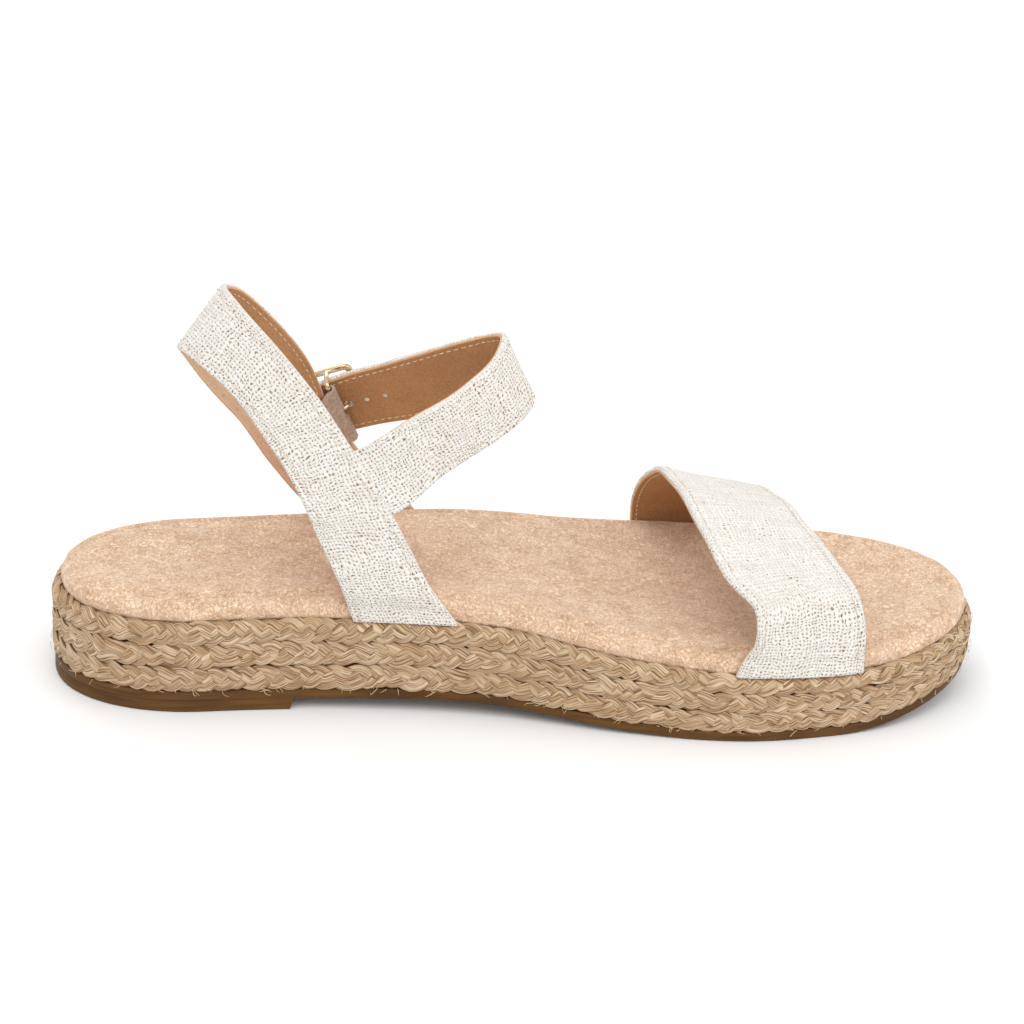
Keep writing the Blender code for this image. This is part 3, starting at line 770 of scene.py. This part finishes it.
def plain_finish(name):
    """A colour with soft mottling, from the table of such finishes."""
    row = PLAIN_FINISHES[name]
    made = Finish(name, row.roughness, specular=row.specular)
    cloud = made.noise(made.place(), row.scale, 4.0)
    made.paint(made.mix(made.step(cloud, 0.3, 0.7), rgb(*row.dark), rgb(*row.light)))
    return made.material


def rubber_finish():
    """Caramel rubber, buffed at its cut side, with faint streaks along it."""
    made = Finish("rubber", 0.45, specular=0.18)
    place = made.place()
    streak = made.noise(made.stretched(place, (60.0, 60.0, 900.0)), 1.0, 3.0)
    cloud = made.noise(place, 35.0, 3.0)
    tone = made.times(made.math("ADD", streak, cloud), 0.5)
    made.paint(made.mix(made.step(tone, 0.35, 0.65), rgb(80, 52, 24), rgb(108, 74, 36)))
    made.polish(made.blend(streak, 0.25, 0.34))
    made.emboss(streak, 0.05, 0.4)
    return made.material


def gold_finish():
    """Pale polished gold with faint rubbing."""
    made = Finish("gold", 0.12, specular=0.5, metallic=1.0)
    rub = made.noise(made.place(), 420.0, 4.0)
    made.paint(made.mix(rub, rgb(214, 188, 150), rgb(232, 212, 182)))
    made.polish(made.blend(rub, 0.16, 0.05))
    return made.material


# Sole


def ring(inset, stations, height):
    """A loop of points round the sole at an inset, with its height a function of x."""
    flat = outline(inset, stations)
    return np.column_stack([flat, height(flat[:, 0])])


def stacked(name, stations, profile):
    """Closed mesh through loops round the sole, each an inset and a height, flat underneath and on top."""
    rings = [ring(inset, stations, height) for inset, height in profile]
    count = len(rings[0])
    points = np.concatenate(rings)
    faces = grid_faces(len(rings), count) + ladder(0, count) + ladder(len(points) - count, count)
    return new_mesh(name, points, faces)


def outsole_bottom(x):
    """Floor under the heel lift, then the sheet's own underside in front of it."""
    return sheet_bottom(x) * smooth_step(x, LIFT_LENGTH - LIFT_FRONT, LIFT_LENGTH + LIFT_FRONT)


def build_outsole(material):
    steps = LIFT_LENGTH + LIFT_FRONT * np.linspace(-1.2, 1.2, 9)
    spread = even_stations(STATIONS)
    spread = spread[np.abs(spread - LIFT_LENGTH) > 1.5 * LIFT_FRONT]
    stations = np.sort(np.concatenate([spread, steps]))

    def top(x):
        return sheet_bottom(x) + SHEET_THICKNESS

    def seam(x):
        return np.maximum(sheet_bottom(x) + 0.2, outsole_bottom(x) + 2.2 * OUTSOLE_EDGE)

    def lift_only(inset):
        x = outline(0.0, stations)[:, 0]
        return OUTSOLE_INSET + inset * (1 - smooth_step(x, LIFT_LENGTH - GROOVE_FADE, LIFT_LENGTH))

    edge = OUTSOLE_EDGE
    profile = (
        (OUTSOLE_INSET + edge, outsole_bottom),
        (OUTSOLE_INSET + 0.3 * edge, lambda x: outsole_bottom(x) + 0.3 * edge),
        (OUTSOLE_INSET, lambda x: outsole_bottom(x) + edge),
        (OUTSOLE_INSET, lambda x: seam(x) - 0.4 * edge),
        (lift_only(LIFT_GROOVE), seam),
        (OUTSOLE_INSET, lambda x: seam(x) + 0.4 * edge),
        (OUTSOLE_INSET, lambda x: top(x) - 0.5 * edge),
        (OUTSOLE_INSET + 0.5 * edge, top),
    )
    new_piece(stacked("outsole_skin", stations, profile), [material], ["outsole"])


class Wall:
    """The wedge's side as a sheet for the braids: s round the sole, t up the side and over its top edge."""

    def __init__(self):
        flat = np.roll(outline(BRAID_INSET, even_stations(WALL_STATIONS)), -WALL_STATIONS, axis=0)
        along = tangents(flat)
        table = np.column_stack([flat, -along[:, 1], along[:, 0]])
        self.table = np.concatenate([table, table[:1]])
        self.at = distances(self.table[:, :2])
        self.length = self.at[-1]

    def foot(self, s):
        """Point of the sole's outline at s, and the level direction out of the wall there."""
        s = np.mod(s, self.length)
        found = np.stack([np.interp(s, self.at, column) for column in self.table.T], -1)
        return found[..., :2], unit(found[..., 2:])

    def straight(self, x):
        return jute_top(x) - jute_bottom(x) - BRAID_ROLL

    def span(self, s):
        point, _ = self.foot(s)
        return self.straight(point[..., 0]) + BRAID_ROLL * BRAID_ROLL_TURN

    def place(self, s, t, lift):
        point, out = self.foot(s)
        low = jute_bottom(point[..., 0])
        straight = self.straight(point[..., 0])
        turn = np.clip((t - straight) / BRAID_ROLL, 0, math.pi / 2)
        flat = point + out * (lift * np.cos(turn) - BRAID_ROLL * (1 - np.cos(turn)))[..., None]
        z = low + np.minimum(t, straight) + (BRAID_ROLL + lift) * np.sin(turn)
        return np.concatenate([flat, z[..., None]], -1)


def build_braid(wall, row, material):
    """One row of three strands, each swinging from edge to edge and diving under the next."""
    rng = np.random.default_rng(BRAID_SEED + row)
    count = int(round(wall.length / BRAID_STEP))
    s = wall.length * np.arange(count) / count
    height = wall.span(s) / BRAID_ROWS
    turns = round(wall.length / BRAID_PERIOD)
    angle = math.tau * np.arange(STRAND_SIDES) / STRAND_SIDES
    uneven = wander(rng, wall.length, *BRAID_UNEVEN)(s)
    points, faces, uv, depths, rims = [], [], [], [], []
    for strand in range(BRAID_STRANDS):
        wobble = {name: wander(rng, wall.length, *form)(s) for name, form in STRAND_WOBBLES.items()}
        phase = math.tau * (turns * s / wall.length + strand / BRAID_STRANDS + BRAID_ROW_SHIFT * row)
        phase += uneven + wobble["phase"]
        swing = np.sin(phase) - np.sin(3 * phase) / 9
        t = height * (row + 0.5 + BRAID_SWING * swing) + wobble["height"]
        lift = BRAID_DEPTH * np.sin(2 * phase) + wobble["lift"]
        width = height * STRAND_WIDTH * (1 + wobble["width"]) * (1 - STRAND_PINCH * np.sin(phase) ** 2)
        ds = wall.length / count
        dt = (np.roll(t, -1) - np.roll(t, 1)) / 2
        pace = np.hypot(ds, dt)
        side = width[:, None] * np.cos(angle)
        out = lift[:, None] + STRAND_DEPTH * rounded_power(np.sin(angle), STRAND_FLATNESS)
        where_s = s[:, None] - side * (dt / pace)[:, None]
        where_t = t[:, None] + side * (ds / pace)[:, None]
        first = strand * count * STRAND_SIDES
        points.append(wall.place(where_s, where_t, out).reshape(-1, 3))
        faces += grid_faces(count, STRAND_SIDES, loop_rows=True, first=first)
        run = np.cumsum(pace) + STRAND_GRAIN * strand + ROW_GRAIN * row
        uv.append(np.stack([np.broadcast_to(run[:, None], side.shape), side], -1).reshape(-1, 2))
        reach = BRAID_DEPTH + STRAND_DEPTH
        depths.append(((out + reach) / (2 * reach)).ravel())
        rims.append(np.broadcast_to(np.abs(np.cos(angle)), out.shape).ravel())
    mesh = new_mesh(f"braid_row_{row + 1}", np.concatenate(points), faces)
    lay_uv(mesh, np.concatenate(uv))
    # depth and rim drive the jute finish's painted shade: deep points and strand sides come out darker.
    mark_points(mesh, "depth", np.concatenate(depths))
    mark_points(mesh, "rim", np.concatenate(rims))
    new_piece(mesh, [material], ["jute_midsole"])


def build_core(material):
    """The wedge behind the braids, seen only through their gaps, painted dark as the shade in them."""
    profile = (
        (CORE_INSET, jute_bottom),
        (CORE_INSET, lambda x: jute_top(x) - CORE_ROUNDING[1]),
        (CORE_INSET + CORE_ROUNDING[0], lambda x: jute_top(x) + CORE_RISE),
    )
    mesh = stacked("jute_core", even_stations(STATIONS), profile)
    new_piece(mesh, [material], ["jute_midsole"])


def build_wisps(wall, material):
    """Stray fibres along the foot of the braid, a few over its face, and a tuft at the toe."""
    rng = np.random.default_rng(WISP_SEED)
    s = rng.uniform(0, wall.length, WISPS)
    height = wall.span(s)
    low = rng.random(WISPS) < LOW_SHARE
    tuft = rng.random(WISPS) < TUFT_SHARE
    s = np.where(tuft, rng.normal(0, TUFT_WIDTH, WISPS), s)
    t = np.where(low, rng.uniform(*WISP_FOOT, WISPS), rng.uniform(0, 1, WISPS) * height)
    reach = rng.uniform(*WISP_REACH, WISPS) * np.where(low, 1.0, 0.7)
    drift = rng.normal(0, WISP_DRIFT, WISPS)
    drop = np.where(low, -rng.uniform(*WISP_DROP, WISPS), rng.normal(0, WISP_CURL, WISPS))
    curl = rng.normal(0, WISP_CURL, (WISPS, 2))
    rise = rng.uniform(*WISP_RISE, WISPS)
    along = np.linspace(0, 1, len(WISP_RADII))
    bow = np.sin(math.pi * along)
    size = reach[:, None] * along
    where_s = s[:, None] + size * drift[:, None] + curl[:, :1] * bow
    where_t = t[:, None] + size * drop[:, None] + curl[:, 1:] * bow
    lift = WISP_LIFT + size * rise[:, None] - 0.4 * (along - 0.5) * low[:, None]
    paths = wall.place(where_s, where_t, lift)
    paths[..., 2] = np.maximum(paths[..., 2], WISP_FLOOR)
    new_piece(thread_bundle("jute_wisps", paths, WISP_RADII, WISP_SIDES), [material], ())


def build_footbed(material):
    """Padded insole with a rolled edge, a shallow dish and the slight unevenness of a wrapped cover."""
    rng = np.random.default_rng(FOOTBED_SEED)
    stations = even_stations(STATIONS)
    count = 2 * STATIONS
    knots = np.arange(len(FOOTBED_EDGE))
    at = np.linspace(0, knots[-1], FOOTBED_RINGS)
    insets = hermite(knots, [edge.inset for edge in FOOTBED_EDGE], at)
    heights = hermite(knots, [edge.height for edge in FOOTBED_EDGE], at)
    beside = (insets - PRESSED_LINE.inset) / PRESSED_WIDTH
    heights = heights + PRESSED_LINE.height * np.exp(-(beside**2))
    ripple = wander(rng, count, count / FOOTBED_RIPPLES, FOOTBED_PUFF)(np.arange(count))
    rings = []
    for inset, height in zip(insets, heights):
        puff = math.sin(math.pi * min(1.0, height / FOOTBED_EDGE[-1].height)) * ripple
        rings.append(ring(FOOTBED_INSET + inset - puff, stations, lambda x, h=height: jute_top(x) + GAP + h))
    points = np.concatenate(rings)
    lateral = len(points) - count + np.arange(STATIONS + 1)
    medial = len(points) - count + (count - np.arange(STATIONS + 1)) % count
    left, right = points[lateral[1:-1], None], points[medial[1:-1], None]
    share = np.linspace(0, 1, FOOTBED_COLUMNS + 1)[1:-1]
    inner = left * (1 - share[:, None]) + right * share[:, None]
    x, y = inner[..., 0], inner[..., 1]
    dents = [wander(rng, LENGTH, *form) for form in FOOTBED_DENTS]
    width = np.linalg.norm(left - right, axis=-1) / LENGTH
    shelter = np.sin(math.pi * share) ** 2 * np.minimum(1.0, DISH_FADE * width)
    inner[..., 2] -= shelter * (FOOTBED_DISH + dents[0](x + 2 * y) + dents[1](y - x))
    grid = np.repeat(lateral[:, None], FOOTBED_COLUMNS + 1, axis=1)
    grid[:, -1] = medial
    grid[1:-1, 1:-1] = len(points) + np.arange(x.size).reshape(x.shape)
    corners = np.stack([grid[:-1, :-1], grid[1:, :-1], grid[1:, 1:], grid[:-1, 1:]], -1)
    faces = grid_faces(len(rings), count) + ladder(0, count)
    faces += [tuple(dict.fromkeys(face)) for face in corners.reshape(-1, 4).tolist()]
    mesh = new_mesh("footbed_cover", np.concatenate([points, inner.reshape(-1, 3)]), faces)
    piece = new_piece(mesh, [material], ["footbed"])


# Straps


def seat_end(x, fold_end, side, rise):
    """One edge of a strap beside the footbed, at a rise above the seam, on its way to the nearest fold."""
    seam = float(jute_top(x)) + GAP
    share = rise / (fold_end[2] - seam)
    leaning_x = x + share * (fold_end[0] - x)
    return (leaning_x, edge_y(leaning_x, STRAP_INSET, side), seam + rise)


def seat(xs, fold, side, rise):
    """A strap's fold beside the footbed, bowed outward to follow the sole's outline."""
    lower = seat_end(xs[0], fold.lower, side, rise)
    upper = seat_end(xs[1], fold.upper, side, rise)
    middle = edge_y((lower[0] + upper[0]) / 2, STRAP_INSET, side)
    return Fold(lower, upper, side * (middle - (lower[1] + upper[1]) / 2))


def seated(seats, folds):
    """Adds the folds at both ends, where a strap stands up straight from the seam beside the footbed."""
    inner = [seat(seats["medial"], folds[0], -1, rise) for rise in SEAT_RISES]
    outer = [seat(seats["lateral"], folds[-1], 1, rise) for rise in SEAT_RISES]
    return (*inner, *folds, *outer[::-1])


class Ribbon:
    """A strap's middle surface through its folds. run goes from 0 to 1 along it, across from -1 to 1."""

    def __init__(self, folds, outside=1):
        self.outside = outside
        self.lower = np.array([fold.lower for fold in folds], float)
        self.upper = np.array([fold.upper for fold in folds], float)
        self.bow = np.array([fold.bow for fold in folds], float)
        self.knots = distances((self.lower + self.upper) / 2)
        self.length = self.knots[-1]

    def edges(self, run):
        at = np.asarray(run, float) * self.length
        return hermite(self.knots, self.lower, at), hermite(self.knots, self.upper, at)

    def frame(self, run):
        """At each run: the middle, half the width across, the unit vector outward."""
        step = DIRECTION_STEP / self.length
        lower, upper = self.edges(run)
        ahead = sum(self.edges(np.clip(np.asarray(run) + step, 0, 1))) / 2
        behind = sum(self.edges(np.clip(np.asarray(run) - step, 0, 1))) / 2
        along = unit(ahead - behind)
        across = (upper - lower) / 2
        outward = unit(self.outside * np.cross(across, along))
        return (lower + upper) / 2, across, outward

    def point(self, run, across, lift=0.0):
        """Point of the surface, bowed across and lifted outward."""
        middle, half, outward = self.frame(run)
        bow = hermite(self.knots, self.bow, np.asarray(run, float) * self.length)
        across = np.asarray(across, float)
        return middle + across[..., None] * half + ((1 - across**2) * bow + lift)[..., None] * outward


class Strap:
    """A ribbon with thickness and creases. u runs along it and a across it, both in millimetres."""

    def __init__(self, ribbon, creases=(), thickness=None, seed=0, nips=()):
        self.ribbon = ribbon
        self.creases = creases
        self.nips = nips
        self.thickness = thickness or (lambda u: np.full_like(u, STRAP_THICKNESS))
        self.ripple = wander(np.random.default_rng(seed), 2 * ribbon.length, *STRAP_RIPPLE)

    def half_width(self, u):
        return np.linalg.norm(self.ribbon.frame(u / self.ribbon.length)[1], axis=-1)

    def creased(self, u, a):
        lift = self.ripple(u + RIPPLE_SLANT * a)
        for crease in self.creases:
            angle = math.radians(crease.angle)
            du, da = u - crease.along, a - crease.across
            down = du * math.cos(angle) + da * math.sin(angle)
            over = da * math.cos(angle) - du * math.sin(angle)
            lift = lift + crease.depth * np.exp(-((over / crease.width) ** 2) - (down / crease.length) ** 2)
        return lift

    def place(self, u, a, out):
        """Point at u and a, lifted out of the middle surface."""
        run = np.clip(u / self.ribbon.length, 0, 1)
        half = self.half_width(run * self.ribbon.length)
        drawn = a
        for nip in self.nips:
            near = ((u - nip.along) / nip.length) ** 2 + ((a + half) / nip.reach) ** 2
            drawn = drawn + nip.depth * np.exp(-near)
        return self.ribbon.point(run, drawn / half, self.creased(u, a) + out)


def stitch_trough(row, distance):
    """Depth of the dent that a row of stitches pulls into the face, at a distance in from the edge."""
    return row.trough * np.exp(-(((distance - row.edge) / TROUGH_WIDTH) ** 2))


def strap_mesh(name, strap, suede=None):
    """Closed wall of two layers round a strap's middle surface, linen and lining, with a seam between."""
    length = strap.ribbon.length
    u = np.linspace(0, length, int(round(length / STRAP_STEP)) + 1)
    half = strap.half_width(u)[:, None]
    thick = strap.thickness(u)[:, None] / 2
    shares = np.linspace(-1, 1, STRAP_COLUMNS)
    outer_a = shares * (half - LAYER_EDGE[0][0] - FACE_MARGIN)
    outer_out = thick - stitch_trough(LINEN_STITCH, half - np.abs(outer_a)) * np.minimum(1, thick)
    inner_a = shares[::-1] * (half - LAYER_EDGE[-1][0] - FACE_MARGIN)
    inner_out = stitch_trough(LINING_STITCH, half - np.abs(inner_a)) * np.minimum(1, thick) - thick
    right_a = np.concatenate([half - inset for inset, _ in LAYER_EDGE], axis=1)
    right_out = np.concatenate([thick * share for _, share in LAYER_EDGE], axis=1)
    a = np.concatenate([outer_a, right_a, inner_a, -right_a[:, ::-1]], axis=1)
    out = np.concatenate([outer_out, right_out, inner_out, right_out[:, ::-1]], axis=1)
    rows, columns = a.shape
    along = np.broadcast_to(u[:, None], a.shape)
    points = strap.place(along.ravel(), a.ravel(), out.ravel())
    last = (rows - 1) * columns
    faces = grid_faces(rows, columns) + [tuple(range(columns)), tuple(range(last, last + columns))]
    mesh = new_mesh(name, points, faces)
    edge_a = right_a + thick - right_out
    laid = np.concatenate([outer_a, edge_a, inner_a, -edge_a[:, ::-1]], axis=1)
    lay_uv(mesh, np.stack([along.ravel(), laid.ravel()], -1))
    if suede:
        mark_points(mesh, "suede", suede(points[:, 2], laid.ravel()))
    lining_edge = len(LAYER_EDGE) - LINEN_EDGE_FACES - SEAM_EDGE_FACES
    layers = [0] * (STRAP_COLUMNS + LINEN_EDGE_FACES - 1) + [2] * SEAM_EDGE_FACES
    layers += [1] * (2 * lining_edge + STRAP_COLUMNS + 1) + [2] * SEAM_EDGE_FACES + [0] * LINEN_EDGE_FACES
    layers += [0] * (columns - len(layers))
    mesh.polygons.foreach_set("material_index", np.array(layers * (rows - 1) + [1, 1], np.int32))
    return mesh


def stitch_paths(strap, row, start, end):
    """Lines of the stitches along both edges of one face of a strap."""
    paths = []
    middles = np.arange(start, end, row.pitch)
    for side in (-1, 1):
        for middle in middles + STITCH_STAGGER * side:
            u = middle + row.length * np.linspace(-0.5, 0.5, len(STITCH_RADII))
            half = strap.half_width(u)
            if half.min() < NARROWEST_HALF:
                continue
            out = strap.thickness(u) / 2 - row.trough + row.size * STITCH_DIVE + STITCH_RAISE
            paths.append(strap.place(u, side * (half - row.edge), row.face * out))
    return np.array(paths)


def build_stitching(name, strap, start, end, threads):
    """Stitches on both faces of a strap, linen thread outside and tan inside, and painted shade at the outer
    ones' ends.
    """
    for row, thread, layer in ((LINEN_STITCH, threads[0], "outer"), (LINING_STITCH, threads[1], "inner")):
        paths = stitch_paths(strap, row, start, end)
        mesh = thread_bundle(f"{name}_{layer}", paths, row.size * STITCH_RADII, THREAD_SIDES)
        new_piece(mesh, [thread], ())
        if row.face > 0:
            # Dark stubs at each outer stitch's ends: painted shade in the needle holes.
            ends = np.concatenate([paths[:, :2], paths[:, :-3:-1]])
            pit_shading = thread_bundle(f"{name}_pits", ends, PIT_RADII, THREAD_SIDES)
            new_piece(pit_shading, [threads[2]], ())


def heel_ribbon():
    return Ribbon(seated(HEEL_SEATS, HEEL_FOLDS))


def ankle_ribbon():
    heel = heel_ribbon()
    roots = []
    for root in ANKLE_ROOTS:
        roots.append(Fold(heel.point(root.lower_run, root.across), heel.point(root.upper_run, root.across)))
    return Ribbon((*roots, *ANKLE_FOLDS, *ANKLE_TIP), outside=-1)


def ankle_thickness(ribbon):
    """Full thickness outside the heel strap, thinned where the root is sewn between its layers."""
    knots = ribbon.knots[: len(ANKLE_ROOTS) + 1]
    values = [root.thickness for root in ANKLE_ROOTS] + [STRAP_THICKNESS]
    return lambda u: np.interp(u, knots, values)


def build_strap(name, strap, solid, start, end, cloth, threads, suede=None):
    """A strap's wall and its stitching, which runs from start to that far before the strap's end."""
    piece = new_piece(strap_mesh(f"{name}_linen", strap, suede), cloth, [solid])
    build_stitching(f"{name}_stitching", strap, start, strap.ribbon.length - end, threads)
    return piece


def build_vamp(cloth, threads):
    strap = Strap(Ribbon(seated(VAMP_SEATS, VAMP_FOLDS)), VAMP_CREASES, seed=11, nips=VAMP_NIPS)
    build_strap("vamp", strap, "vamp_strap", *STITCH_MARGINS, cloth, threads)


def build_heel_strap(cloth, threads):
    """Heel strap, lined with suede at its feet and along its back edge, whose pinkish colour is partly
    painted sheen.
    """
    strap = Strap(heel_ribbon(), HEEL_CREASES, seed=12)

    # Pinkish suede at the feet and the back edge, partly painted light where the lining looks paler when
    # lit.
    def suede(z, across):
        return np.maximum(1 - smooth_step(z, *SUEDE_TOP), 1 - smooth_step(across, *SUEDE_BACK))

    build_strap("heel_strap", strap, "quarter_straps", *STITCH_MARGINS, cloth, threads, suede)


def build_ankle_strap(cloth, threads):
    """Ankle strap with its punched holes and its free tip."""
    ribbon = ankle_ribbon()
    strap = Strap(ribbon, ANKLE_CREASES, ankle_thickness(ribbon), seed=13)
    start = ribbon.knots[len(ANKLE_ROOTS)] - STITCH_MARGINS[0]
    piece = build_strap("ankle_strap", strap, "quarter_straps", start, TIP_MARGIN, cloth, threads)
    for index in range(-HOLES_BACK, HOLES_FORWARD + 1):
        radius = HOLE_RADIUS if index else PRONG_HOLE_RADIUS
        line = in_buckle([(0, 0, out) for out in PUNCH_LINE], PRONG_HOLE + index * HOLE_PITCH)
        punch = thread_bundle("punch", [line], [radius] * len(PUNCH_LINE), PUNCH_SIDES)
        boolean(piece, punch, "DIFFERENCE")


# Buckle


def buckle_axes(offset=0.0):
    """(centre, forward, up, outward) on the ankle strap, offset millimetres forward of the buckle's bar."""
    ribbon = ankle_ribbon()
    run = (ribbon.knots[BUCKLE_FOLD] + BUCKLE_BACK - offset) / ribbon.length
    middle, across, outward = ribbon.frame(run)
    up = unit(across)
    return middle, np.cross(outward, up), up, outward


def in_buckle(points, offset=0.0):
    """Turns (forward, up, outward) triples at the buckle into the shoe's frame."""
    centre, forward, up, outward = buckle_axes(offset)
    return np.asarray(points, float) @ np.array([forward, up, outward]) + centre


def wire(name, path, radii, flat_normal, power, closed=False, taper=None):
    """Wire along a path. radii are across the path, square to flat_normal and along it."""
    turn = math.tau * (np.arange(WIRE_SIDES) + 0.5) / WIRE_SIDES
    wide = radii[0] * rounded_power(np.cos(turn), power)
    high = radii[1] * rounded_power(np.sin(turn), power)
    scale = np.ones(len(path)) if taper is None else taper
    return sweep(name, [path], flat_normal, wide, high, scale, closed)


def rounded_rectangle(width, height, radius):
    """Points round a rectangle with rounded corners, at the height of the buckle's frame."""
    angle = math.pi / 2 * (np.arange(4)[:, None] + np.linspace(0, 1, CORNER_STEPS + 1))
    signs = np.array([(1, 1), (-1, 1), (-1, -1), (1, -1)])[:, None]
    centres = signs * (width / 2 - radius, height / 2 - radius)
    flat = centres + radius * np.stack([np.cos(angle), np.sin(angle)], -1)
    return np.insert(flat.reshape(-1, 2), 2, FRAME_LIFT, axis=1)


def bar_path():
    """The bar's line: from one short side of the frame down, under the strap, and up to the other side."""
    reach = FRAME_ACROSS / 2 - FRAME_WIRE[0]
    half = [(0.0, reach, FRAME_LIFT)]
    for step in range(BAR_STEPS + 1):
        angle = math.pi / 2 * step / BAR_STEPS
        across = reach - BAR_BEND * (1 - math.cos(angle))
        half.append((0.0, across, BAR_BEND * (1 - math.sin(angle)) - BAR_DROP))
    return half + [(x, -y, z) for x, y, z in reversed(half)]


def build_frame(material):
    """Rectangular frame on the strap's outer face, with a bar under the strap joined to its short sides."""
    _, forward, _, outward = buckle_axes()
    loop = rounded_rectangle(FRAME_ALONG - 2 * FRAME_WIRE[0], FRAME_ACROSS - 2 * FRAME_WIRE[0], FRAME_CORNER)
    rim = wire("gold_frame", in_buckle(loop), FRAME_WIRE, outward, 0.6, closed=True)
    piece = new_piece(rim, [material], ["buckle_frame"])
    bar = wire("gold_bar", in_buckle(bar_path()), (BAR_RADIUS, BAR_RADIUS), forward, 1.0)
    boolean(piece, bar, "UNION")


def prong_path():
    """The prong's line: hooked on the bar, out through the strap's hole and onto the frame's front."""
    points = []
    for degrees in range(HOOK_START, 89, -5):
        angle = math.radians(degrees)
        points.append((PRONG_EYE * math.cos(angle), 0.0, PRONG_EYE * math.sin(angle) - BAR_DROP))
    under = points[-1][2]
    rest = FRAME_LIFT + FRAME_WIRE[1] + GAP + PRONG_RADIUS
    front = FRAME_ALONG / 2 - FRAME_WIRE[0]
    points += [
        (PRONG_HOLE - 1.7, 0.0, under + 0.1),
        (PRONG_HOLE - 0.4, 0.0, -1.3),
        (PRONG_HOLE, 0.0, 0.2),
        (PRONG_HOLE + 0.3, 0.0, 1.8),
        (PRONG_HOLE + 1.1, 0.0, rest - 0.9),
        (front - 0.9, 0.0, rest - 0.1),
        (front - 0.1, 0.0, rest),
    ]
    return points


def build_prong(material):
    """Prong with a smooth line through its bends and a rounded, narrowed tip."""
    knots = np.array(prong_path())
    at = distances(knots)
    fine = np.linspace(0, at[-1], PRONG_STEPS)
    path = hermite(at, knots, fine)
    taper = np.sqrt(np.clip((at[-1] - fine) / PRONG_TIP, PRONG_POINT, 1.0))
    _, _, up, _ = buckle_axes()
    mesh = wire("gold_prong", in_buckle(path), (PRONG_RADIUS, PRONG_RADIUS), up, 0.9, taper=taper)
    new_piece(mesh, [material], ["buckle_prong"])


def tab_folds():
    """The suede tab's line: inside the heel strap, forward round the bar, and back a little."""
    heel = heel_ribbon()
    low_run, high_run = max(TAB_RUNS), min(TAB_RUNS)

    def on_strap(share):
        ends = [heel.point(run, share) - TAB_OFFSET * heel.frame(run)[2] for run in (low_run, high_run)]
        return Fold(*ends)

    def at_bar(forward, out):
        return Fold(*in_buckle([(forward, -TAB_HALF_WIDTH, out), (forward, TAB_HALF_WIDTH, out)]))

    def on_bar(degrees):
        angle = math.radians(degrees)
        return at_bar(TAB_WRAP * math.cos(angle), TAB_WRAP * math.sin(angle) - BAR_DROP)

    inner = [on_strap(share) for share in TAB_INNER_SHARES]
    wrap = [on_bar(degrees) for degrees in (-90, -45, 0, 45, 90)]
    return (*inner, *wrap, at_bar(-TAB_RETURN, TAB_WRAP - BAR_DROP))


def build_tab(material):
    """Suede tab that holds the buckle's bar to the heel strap, slotted on its outer layer for the prong."""
    strap = Strap(Ribbon(tab_folds()), thickness=lambda u: np.full_like(u, TAB_THICKNESS))
    piece = new_piece(strap_mesh("suede_tab", strap), [material] * 3, ["buckle_tab"])
    middle = SLOT_FLOOR + SLOT_SIZE[2] / 2 - BAR_DROP
    slot_line = in_buckle([(0, across * SLOT_SIZE[1], middle) for across in (-0.5, 0.5)])
    _, forward, _, _ = buckle_axes()
    radii = (SLOT_SIZE[2] / 2, SLOT_SIZE[0] / 2)
    boolean(piece, wire("slot", slot_line, radii, forward, 0.4), "DIFFERENCE")


# Camera, light and floor


def place_camera():
    camera = new_object("camera", bpy.data.cameras.new("camera"))
    bpy.context.scene.camera = camera
    camera.data.lens = CAMERA_LENS
    look = Vector(CAMERA_TARGET) - Vector(CAMERA_PLACE)
    turn = look.to_track_quat("-Z", "Y") @ Quaternion((0, 0, 1), math.radians(CAMERA_ROLL))
    camera.matrix_world = Matrix.Translation(CAMERA_PLACE) @ turn.to_matrix().to_4x4()


def place_lights():
    for lamp in LAMPS:
        light = bpy.data.lights.new(lamp.name, "AREA")
        light.size = lamp.size
        light.energy = lamp.power
        thing = new_object(lamp.name, light)
        thing.location = lamp.place
        thing.rotation_euler = (-Vector(lamp.place)).to_track_quat("-Z", "Y").to_euler()
    world = bpy.data.worlds.new("studio")
    world.use_nodes = True
    world.node_tree.nodes["Background"].inputs["Color"].default_value = (*SKY, 1.0)
    bpy.context.scene.world = world
    bpy.context.scene.view_settings.view_transform = "Standard"


def place_floor(material):
    half = FLOOR_SIZE / 2
    corners = [(-half, -half, 0), (half, -half, 0), (half, half, 0), (-half, half, 0)]
    mesh = bpy.data.meshes.new("floor")
    mesh.from_pydata(corners, [], [(0, 1, 2, 3)])
    mesh.materials.append(material)
    floor = new_object("floor", mesh)


def main():
    jute = jute_finish()
    gold = gold_finish()
    cloth = [linen_finish(), lining_finish(), edge_finish()]
    threads = [plain_finish(name) for name in ("linen_thread", "tan_thread", "pit_shade")]
    build_outsole(rubber_finish())
    build_core(plain_finish("jute_shade"))
    wall = Wall()
    for row in range(BRAID_ROWS):
        build_braid(wall, row, jute)
    build_wisps(wall, plain_finish("jute_wisp"))
    build_footbed(suede_finish("microsuede", rgb(202, 155, 115), rgb(253, 223, 193), 0.42))
    build_vamp(cloth, threads)
    build_heel_strap(cloth, threads)
    build_ankle_strap(cloth, threads)
    build_frame(gold)
    build_prong(gold)
    build_tab(suede_finish("suede_tab", rgb(168, 140, 120), rgb(214, 192, 172), 0.3))
    place_floor(plain_finish("floor"))
    place_camera()
    place_lights()


main()
